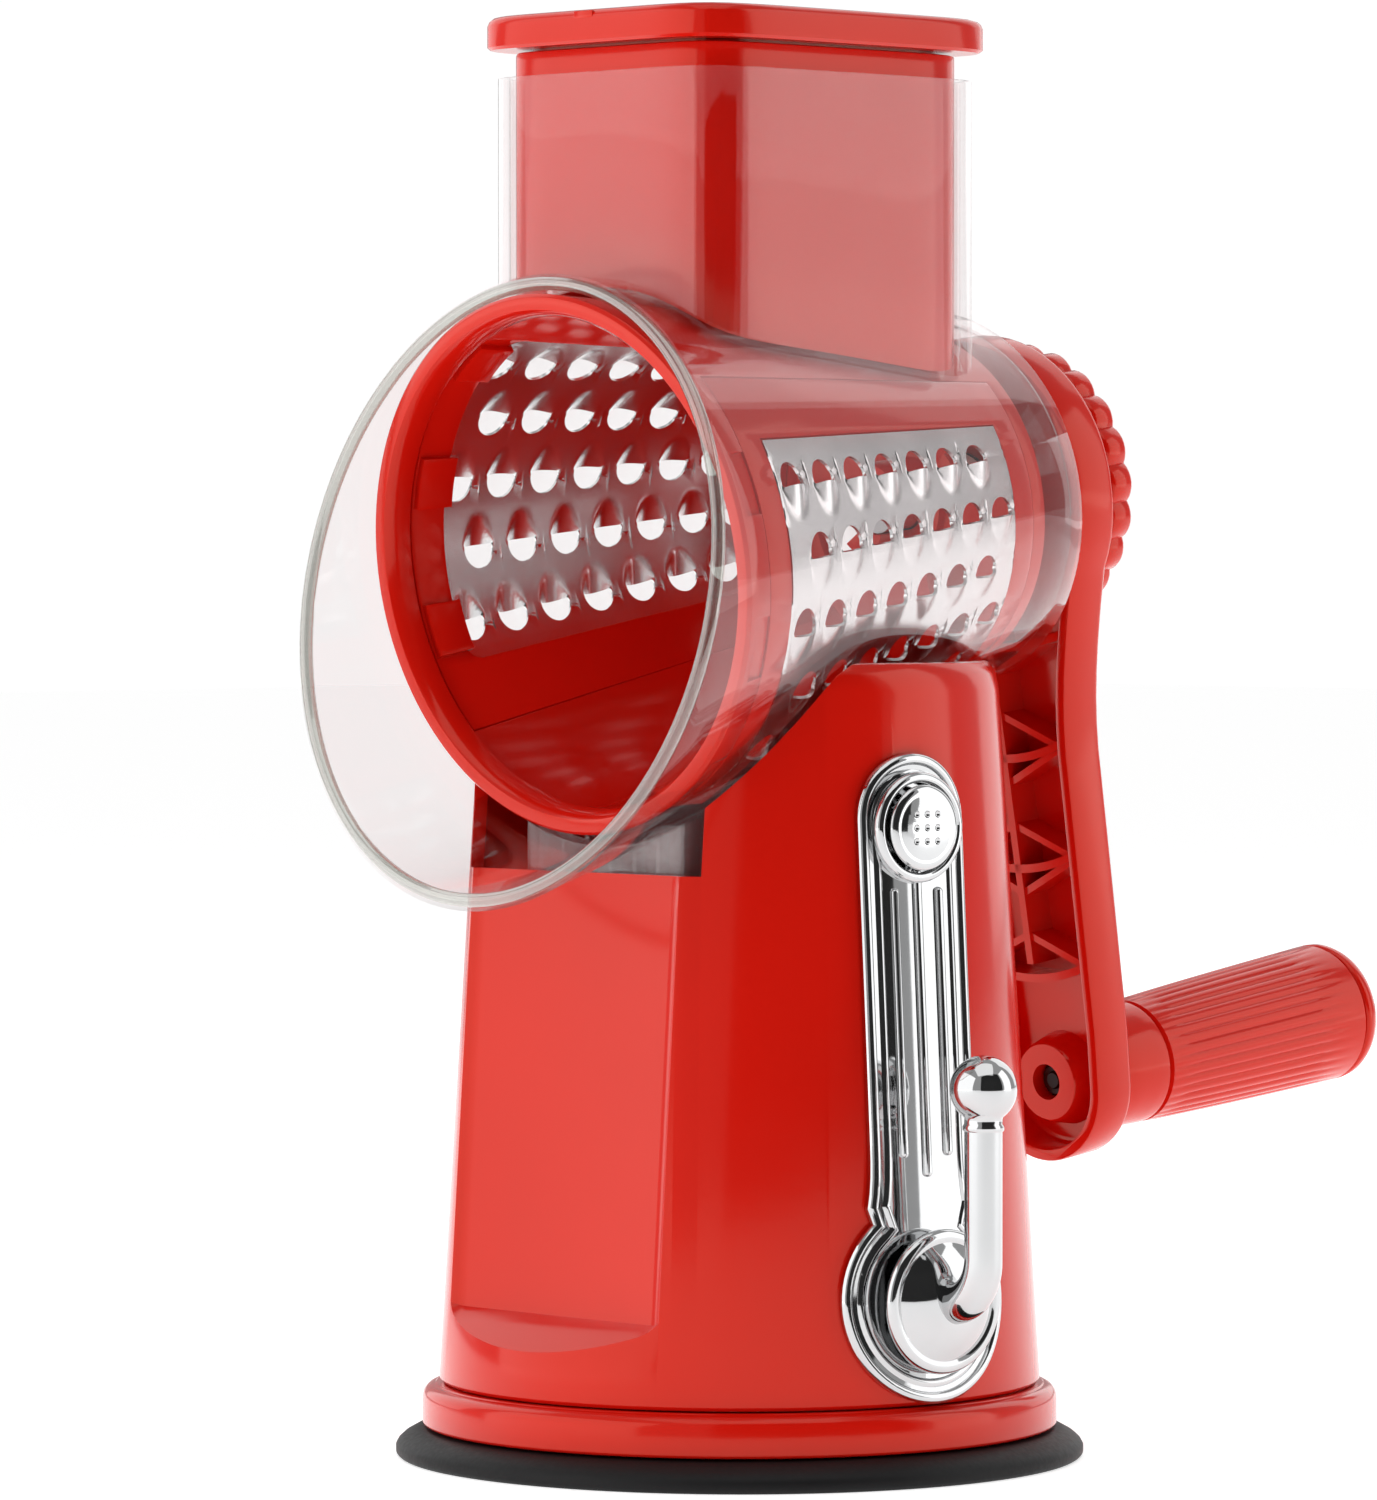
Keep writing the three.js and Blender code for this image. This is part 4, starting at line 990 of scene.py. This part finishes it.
for side in (0, math.pi):
    cut(cage, wedge_tool(math.pi / 2 - BRIDGE_HALF, DRUM_FRONT_S + RING_LENGTH,
                         DRUM_REAR_S - REAR_LENGTH, side))
    for at in TAB_TURNS:
        cut(cage, wedge_tool(0.12, DRUM_FRONT_S + 2.4, DRUM_FRONT_S + RING_LENGTH + 1,
                             side + at, drum_radius(-50) - 1.3, 80, 6))
for i in range(4):
    cut(cage, wedge_tool(0.30, 47, 60, (i + 0.5) * math.pi / 2, 15, drum_radius(54) - 7, 10))
settle(cage, IN_DRUM)
softened(cage, 0.4, 2, 40, 34)
fitted(cage, glossy_red, "drum_and_crank", "red_plastic", "drum_frame")


# ---- panel carriers ------------------------------------------------------------------------
# Curved red carriers, one each side, moulded round the edge of a grating plate. Three tabs
# lock each one under the cage's front ring.
PANEL_HALF_TURN = math.pi / 2 - BRIDGE_HALF - 0.008

carrier = drum_band("panel_carrier", DRUM_FRONT_S + RING_LENGTH + 0.3,
                    DRUM_REAR_S - REAR_LENGTH - 0.3)
cut(carrier, wedge_tool(PANEL_HALF_TURN, -60, 60), "INTERSECT")
opening = wedge_tool(WINDOW_HALF - 0.012, WINDOW_FRONT_S + 0.6, WINDOW_REAR_S - 0.6)
rounded_edges(opening, lambda edge, middle, way: math.hypot(way.x, way.y) > 0.95 and abs(
    math.atan2(abs(middle.y), middle.x) - WINDOW_HALF + 0.012) < 0.02, 3.0, 4)
cut(carrier, opening)
seat = drum_band("plate_seat", WINDOW_FRONT_S - 0.15, WINDOW_REAR_S + 0.15, 1.0, 2.35)
cut(seat, wedge_tool(WINDOW_HALF + 0.006, -60, 60), "INTERSECT")
cut(carrier, seat)
pieces = [carrier]
for at in TAB_TURNS:
    land = drum_band("panel_tab", DRUM_FRONT_S + RING_LENGTH + 0.8,
                     DRUM_FRONT_S + RING_LENGTH + 9, -DRUM_WALL + 0.2, 1.4)
    cut(land, wedge_tool(0.11, -60, 60, at), "INTERSECT")
    pieces.append(land)
carrier = joined(pieces)
softened(carrier, 0.35, 2, 40, 34)


# ---- grater plates -------------------------------------------------------------------------
# Polished stainless sheet, punched and pressed: five staggered rows of half-round holes, each
# with a straight cutting edge that the sheet below it lifts into a long teardrop scoop.
SHEET = 0.7
HOLE_ALONG = 10.7
HOLE_AROUND = math.radians(16.5)
HOLES = 7
ROWS = 5
PLATE_RADIUS = drum_radius(2) - 0.4
MIDDLE_S = (WINDOW_FRONT_S + WINDOW_REAR_S) / 2

polished_sheet, wire, output = new_material("polished_stainless_sheet")
rolled = brushed(wire, (900, 40, 900))
stain = speckle(wire, 60, 3)
principled(wire, output, Base_Color=mixed(wire, stain, (0.70, 0.705, 0.71, 1),
                                          (0.80, 0.80, 0.80, 1)),
           Metallic=1.0, Roughness=0.15 + 0.12 * stain + 0.05 * rolled,
           Normal=bump(wire, rolled, 0.000012, 0.4))

TILE_HALF_S = HOLE_ALONG / 2
TILE_HALF_A = PLATE_RADIUS * HOLE_AROUND / 2
AROUND_POINTS = 40


def rim_point(i):
    """The hole's edge: a half-round top over a straight cutting edge; s along, a up."""
    turn = 2 * math.pi * i / AROUND_POINTS
    s, a = 3.55 * math.cos(turn), 4.0 * math.sin(turn)
    return s * (1 if a > 0 else 0.97), max(a, -0.35 - 0.10 * (s / 3.55) ** 2) + 0.9


def square_point(i):
    """The tile's border in even steps, so that a row fits the next one half a tile along."""
    side, step = divmod((i + 5) % AROUND_POINTS, 10)
    run = step / 5 - 1
    s, a = ((1, run), (-run, 1), (-1, -run), (run, -1))[side]
    return TILE_HALF_S * s, TILE_HALF_A * a


def lift(s, a):
    """How far the sheet stands out: a teardrop below the cutting edge, fading downwards."""
    if a > 0.62:
        edge = max(0.0, 1 - (a - 0.62) / 1.2)
        return 0.25 * edge * max(0.0, 1 - (s / 4.2) ** 2)
    down = (0.62 - a) / 6.2
    if down > 1:
        return 0.0
    half = 3.9 * (1 - down) ** 0.62 + 0.25
    body = max(0.0, 1 - (s / half) ** 2)
    return 1.9 * body ** 1.2 * (1 - down) ** 1.15


tile = drawn("grater_hole", [(*rim_point(i), 0) for i in range(AROUND_POINTS)])
bpy.ops.mesh.select_all(action="DESELECT")
shape = bmesh.from_edit_mesh(tile.data)
shape.verts.ensure_lookup_table()
shape.verts[0].select_set(True)
shape.verts[AROUND_POINTS - 1].select_set(True)
bmesh.update_edit_mesh(tile.data)
bpy.ops.mesh.edge_face_add()
bpy.ops.mesh.select_all(action="SELECT")
shape = bmesh.from_edit_mesh(tile.data)
number = shape.verts.layers.int.new("number")
shape.verts.ensure_lookup_table()
for i, vertex in enumerate(shape.verts):
    vertex[number] = i
bmesh.update_edit_mesh(tile.data)
RINGS = 9
for ring in range(1, RINGS + 1):
    extruded((0, 0, 0))
    shape = bmesh.from_edit_mesh(tile.data)
    number = shape.verts.layers.int["number"]
    spread = (ring / RINGS) ** 0.9
    for vertex in shape.verts:
        if vertex.select:
            inner_s, inner_a = rim_point(vertex[number])
            outer_s, outer_a = square_point(vertex[number])
            vertex.co = Vector((inner_s + (outer_s - inner_s) * spread,
                                inner_a + (outer_a - inner_a) * spread, 0)) * MM
    bmesh.update_edit_mesh(tile.data)
bpy.ops.object.mode_set(mode="OBJECT")

row_places = []
for row in range(ROWS):
    row_places.append((MIDDLE_S + HOLE_ALONG * (-0.25 if row % 2 == 0 else 0.25),
                       PLATE_RADIUS * (row - (ROWS - 1) / 2) * HOLE_AROUND))
hole_places = [(row_s + (i - (HOLES - 1) / 2) * HOLE_ALONG, row_a)
               for row_s, row_a in row_places for i in range(HOLES)]
holes = []
for hole_s, hole_a in hole_places:
    twin = copied(tile, "hole")
    holes.append(settle(twin, Matrix.Translation((hole_s * MM, hole_a * MM, 0))))
bpy.data.objects.remove(tile, do_unlink=True)
sheet = joined(holes)
sheet.name = "grater_sheet"
bpy.ops.object.mode_set(mode="EDIT")
bpy.ops.mesh.select_all(action="SELECT")
bpy.ops.mesh.remove_doubles(threshold=4e-5)
EDGE_FRONT = WINDOW_FRONT_S + 0.2
EDGE_REAR = WINDOW_REAR_S - 0.2
EDGE_AROUND = PLATE_RADIUS * (WINDOW_HALF - 0.004)


def margin(test, move_to):
    """Extrudes the border edges whose middle passes a test, then moves them to the rim."""
    pick(sheet, "EDGE", lambda edge: len(edge.link_faces) == 1 and test(middle_of(edge)))
    extruded((0, 0, 0))
    shape = bmesh.from_edit_mesh(sheet.data)
    for vertex in shape.verts:
        if vertex.select:
            vertex.co = Vector(move_to(vertex.co / MM)) * MM
    bmesh.update_edit_mesh(sheet.data)


ROW_END = HOLES * HOLE_ALONG / 2
for row_s, row_a in row_places:
    for end, rim_s in ((-1, EDGE_FRONT), (1, EDGE_REAR)):
        at = row_s + end * ROW_END
        if (rim_s - at) * end > 0.3:
            margin(lambda middle: abs(middle.x - at) < 0.05 and abs(middle.y - row_a)
                   < TILE_HALF_A - 0.05, lambda place: (rim_s, place.y, 0))
for side in (-1, 1):
    at = side * TILE_HALF_A * ROWS
    margin(lambda middle: abs(middle.y - at) < 0.05,
           lambda place: (place.x, side * EDGE_AROUND, 0))
bpy.ops.mesh.select_mode(type="VERT")
bpy.ops.mesh.select_all(action="SELECT")
bpy.ops.mesh.remove_doubles(threshold=4e-5)
closed_up()

# each hole's lift is pressed into the flat sheet, which is then rolled round the drum
for vertex in sheet.data.vertices:
    s, a = vertex.co.x / MM, vertex.co.y / MM
    out = 0.0
    for hole_s, hole_a in hole_places:
        if abs(s - hole_s) < 5.5 and -7 < a - hole_a < 6:
            out = max(out, lift(s - hole_s, a - hole_a))
    s = min(max(s, EDGE_FRONT), EDGE_REAR)
    radius = drum_radius(s) - 0.25 + out
    turn = -a / PLATE_RADIUS
    vertex.co = Vector((radius * math.cos(turn), radius * math.sin(turn), s)) * MM
settle(sheet, IN_DRUM)
applied(sheet, "SOLIDIFY", thickness=SHEET * MM, offset=0.0)
smoothed(sheet, 50)

half_turn = BARREL @ Matrix.Rotation(math.pi, 4, "Y") @ BARREL.inverted()
settle(carrier, IN_DRUM)
carrier_left = settle(copied(carrier, "panel_carrier_left"), half_turn)
fitted(carrier, glossy_red, "drum_and_crank", "red_plastic", "blade_panel_right")
fitted(carrier_left, glossy_red, "drum_and_crank", "red_plastic", "blade_panel_left")
sheet_left = settle(copied(sheet, "grater_sheet_left"), half_turn)
fitted(sheet, polished_sheet, "drum_and_crank", "stainless", "grater_plate_right")
fitted(sheet_left, polished_sheet, "drum_and_crank", "stainless", "grater_plate_left")


# ---- crank arm -----------------------------------------------------------------------------
# A red moulding, open towards the housing: a wide round hub narrows in a soft curve to a deep
# channel-shaped arm with a spine, curved cross ribs and diagonals, and a boss for the grip.
CRANK_FRONT_S = 67.6
CRANK_DEPTH = 11.4
CRANK_LENGTH = 128.4
HUB_R = 32.8
END_R = 17
ARM_HALF = 19.3
WAIST_Y = 62
PIN_BORE = 3.9
ARM_LEAN = 7
LEAN_END = CRANK_LENGTH - 11


def arm_outline(inset):
    """The hub's arc, a soft curve in to the arm, and the round end, this far inside."""
    points = []
    reach = HUB_R - inset
    for i in range(41):
        turn = math.radians(-212 + 244 * i / 40)
        points.append((reach * math.cos(turn), reach * math.sin(turn)))
    side = []
    start = points[-1]
    width = ARM_HALF - inset
    for i in range(1, 9):
        share = i / 8
        side.append((start[0] + (width - start[0]) * math.sin(share * math.pi / 2),
                     start[1] + (WAIST_Y - start[1]) * share))
    end = END_R - inset
    for i in range(1, 6):
        share = i / 6
        side.append((width + (end - width) * share,
                     WAIST_Y + (CRANK_LENGTH - WAIST_Y) * share))
    for i in range(0, 17):
        turn = math.pi / 2 * i / 16
        side.append((end * math.cos(turn), CRANK_LENGTH + end * math.sin(turn)))
    points += side
    points += [(-x, y) for x, y in side[::-1][1:]]
    return points


def leaned(piece):
    """Leans the arm back from the hub to the boss."""
    for vertex in piece.data.vertices:
        vertex.co.z += ARM_LEAN * MM * min(1, max(0, vertex.co.y / MM / LEAN_END))
    return piece


arm_piece = raised("crank_arm_moulding", arm_outline(0), CRANK_FRONT_S,
                   CRANK_FRONT_S + CRANK_DEPTH)
hollow = raised("arm_hollow", arm_outline(2.6), CRANK_FRONT_S - 4,
                CRANK_FRONT_S + CRANK_DEPTH - 3)
rounded_edges(hollow, lambda edge, middle, way: middle.z > CRANK_FRONT_S + 5
              and abs(way.z) < 0.1, 1.2, 3)
cut(arm_piece, hollow)
rounded_edges(arm_piece, lambda edge, middle, way: middle.z > CRANK_FRONT_S + CRANK_DEPTH - 0.1
              and abs(way.z) < 0.1, 1.8, 4)
rounded_edges(arm_piece, lambda edge, middle, way: middle.z < CRANK_FRONT_S + 0.1
              and abs(way.z) < 0.1, 0.6, 2)
bpy.ops.object.mode_set(mode="EDIT")
sliced([], range(12, 140, 8))
bpy.ops.object.mode_set(mode="OBJECT")
rib_low, rib_high = CRANK_FRONT_S + 1.2, CRANK_FRONT_S + CRANK_DEPTH - 2
ribs = [block("spine", -0.9, 0.9, 12, CRANK_LENGTH - 26, rib_low, rib_high)]
stations = (30, 54, 78, 102)
for at in stations:
    half = 17.0 if at > 40 else 22.4
    curve = [(half * (i / 8 - 1), 3.5 * (1 - (i / 8 - 1) ** 2)) for i in range(17)]
    ribs.append(raised("cross_rib", [(x, at + y - 0.9) for x, y in curve]
                       + [(x, at + y + 0.9) for x, y in curve[::-1]], rib_low, rib_high))
for low, high in zip(stations[:-1], stations[1:]):
    for side in (-1, 1):
        for start, end in (((0, low + 9), (16.6, low + 1)), ((0, high - 6), (16.6, high + 1))):
            across = Vector((end[0] - start[0], end[1] - start[1])).normalized() * 0.75
            ribs.append(raised("diagonal", [
                (side * (start[0] - across.y), start[1] + across.x),
                (side * (start[0] + across.y), start[1] - across.x),
                (side * (end[0] + across.y), end[1] - across.x),
                (side * (end[0] - across.y), end[1] + across.x)], rib_low + 0.6, rib_high))
boss = turned("pin_boss", [(PIN_BORE, 2), (8.2, 2), (8.8, 2.8), (10.4, CRANK_DEPTH - 2.4),
                           (PIN_BORE, CRANK_DEPTH - 2.4), (PIN_BORE, 2)], 64, CRANK_FRONT_S)
settle(boss, Matrix.Translation((0, CRANK_LENGTH * MM, 0)))
arm_piece = leaned(joined([arm_piece] + ribs + [boss]))
sleeve = turned("hub_sleeve", [(SHAFT_BORE, CRANK_FRONT_S), (12.4, CRANK_FRONT_S),
                               (13, CRANK_FRONT_S + 0.6), (13, 81), (SHAFT_BORE, 81),
                               (SHAFT_BORE, CRANK_FRONT_S)], 72)
arm_piece = joined([arm_piece, sleeve])
settle(arm_piece, ALONG)
smoothed(arm_piece, 32)
fitted(arm_piece, glossy_red, "drum_and_crank", "red_plastic", "crank_arm")


# ---- lock knob -----------------------------------------------------------------------------
# A scalloped red nut that screws onto the shaft behind the crank and holds the drum on.
KNOB_FRONT_S = 81.4
KNOB_RADIUS = 30
LOBES = 22

knob_outline = []
for i in range(LOBES * 8):
    turn = 2 * math.pi * i / (LOBES * 8)
    reach = KNOB_RADIUS - 1.5 * (1 - abs(math.cos(turn * LOBES / 2)) ** 0.8)
    knob_outline.append((reach * math.cos(turn), reach * math.sin(turn)))
knob = drawn("lock_knob_nut", [(x * 0.975, y * 0.975, KNOB_FRONT_S) for x, y in knob_outline],
             closed=True)
reach = 0.975
for scale, up in ((0.992, 0.35), (1.0, 0.55), (1.0, 4.6), (0.99, 0.6), (0.965, 0.55),
                  (0.92, 0.3), (0.80, 0.15), (0.74, -0.45), (0.60, -0.6), (0.42, 0.3)):
    extruded((0, 0, up * MM))
    bpy.ops.transform.resize(value=(scale / reach, scale / reach, 1),
                             center_override=(0, 0, 0))
    reach = scale
closed_up()
knob_hub = turned("knob_hub", [(0, 4), (10.5, 4), (10.2, 7.2), (9.4, 7.9), (0, 8)], 64,
                  KNOB_FRONT_S)
knob = joined([knob, knob_hub])
settle(knob, ALONG)
smoothed(knob, 40)
fitted(knob, glossy_red, "drum_and_crank", "red_plastic", "lock_knob")


# ---- grip pin ------------------------------------------------------------------------------
# A blackened steel pin pressed through the arm's boss, with its head sunk out of reach.
IN_GRIP = ALONG @ Matrix.Translation((0, CRANK_LENGTH * MM, 0))

blackened_steel, wire, output = new_material("blackened_steel")
bloom = speckle(wire, 260, 3)
principled(wire, output, Base_Color=mixed(wire, bloom, (0.020, 0.018, 0.018, 1),
                                          (0.045, 0.040, 0.040, 1)),
           Metallic=0.85, Roughness=0.34 + 0.2 * bloom, Normal=bump(wire, bloom, 0.00004, 0.5))
pin = turned("grip_pin_turned", [
    (0, 78.6), (1.6, 78.6), (2.0, 79.2), (3.0, 79.0), (3.5, 79.5), (3.5, 163.4),
    (3.1, 164), (0, 164)], 48)
settle(pin, IN_GRIP)
smoothed(pin, 40)
fitted(pin, blackened_steel, "drum_and_crank", "stainless", "grip_pin")


# ---- grip ----------------------------------------------------------------------------------
# A hollow red handle that turns on a steel pin: a smooth collar, a dark seam, fine grooves
# along its length, and a rounded cap snapped into its end.
GRIP_S = 87
GRIP_LENGTH = 84
GRIP_CAP_S = GRIP_S + GRIP_LENGTH - 6
GROOVES = 36


def grip_radius(s):
    return 12 + 3.4 * math.sqrt(max(0.0, (s - GRIP_S) / GRIP_LENGTH))


grip_profile = [(PIN_BORE, GRIP_S), (10.8, GRIP_S), (11.6, GRIP_S + 0.4), (12.2, GRIP_S + 1.2)]
for s in (90, 94, 98, 101):
    grip_profile.append((grip_radius(s), s))
grip_profile += [(grip_radius(102) - 0.1, 101.6), (grip_radius(102) - 1.0, 102),
                 (grip_radius(102) - 1.0, 102.6), (grip_radius(103) - 0.1, 103)]
for i in range(1, 19):
    s = 103 + (GRIP_CAP_S - 0.8 - 103) * i / 18
    grip_profile.append((grip_radius(s), s))
grip_profile += [(grip_radius(GRIP_CAP_S) - 0.7, GRIP_CAP_S - 0.3), (PIN_BORE, GRIP_CAP_S - 0.3),
                 (PIN_BORE, GRIP_S)]
handle = turned("grip_handle", grip_profile, GROOVES * 6)
for vertex in handle.data.vertices:
    radius = math.hypot(vertex.co.x, vertex.co.y)
    s = vertex.co.z / MM
    if radius > 9 * MM and 104 < s < GRIP_CAP_S - 5:
        turn = math.atan2(vertex.co.y, vertex.co.x)
        fade = min(1, (s - 104) / 4, (GRIP_CAP_S - 5 - s) / 8)
        sunk = 0.42 * MM * max(0, fade) * max(0, -math.cos(GROOVES * turn)) ** 1.5
        vertex.co.x *= 1 - sunk / radius
        vertex.co.y *= 1 - sunk / radius
settle(handle, IN_GRIP)
smoothed(handle, 40)
fitted(handle, glossy_red, "grip_body", "red_plastic", "grip")

end_r = grip_radius(GRIP_CAP_S)
cap = turned("grip_end_cap", [
    (0, 0), (end_r - 0.7, 0), (end_r - 0.15, 0.4), (end_r, 1.0), (end_r - 0.1, 2.2),
    (end_r - 0.8, 3.6), (end_r - 2.0, 4.7), (end_r - 3.8, 5.5), (end_r - 6.4, 5.9),
    (0, 6)], base=GRIP_CAP_S)
settle(cap, IN_GRIP)
smoothed(cap, 50)
fitted(cap, glossy_red, "grip_body", "red_plastic", "grip_cap")
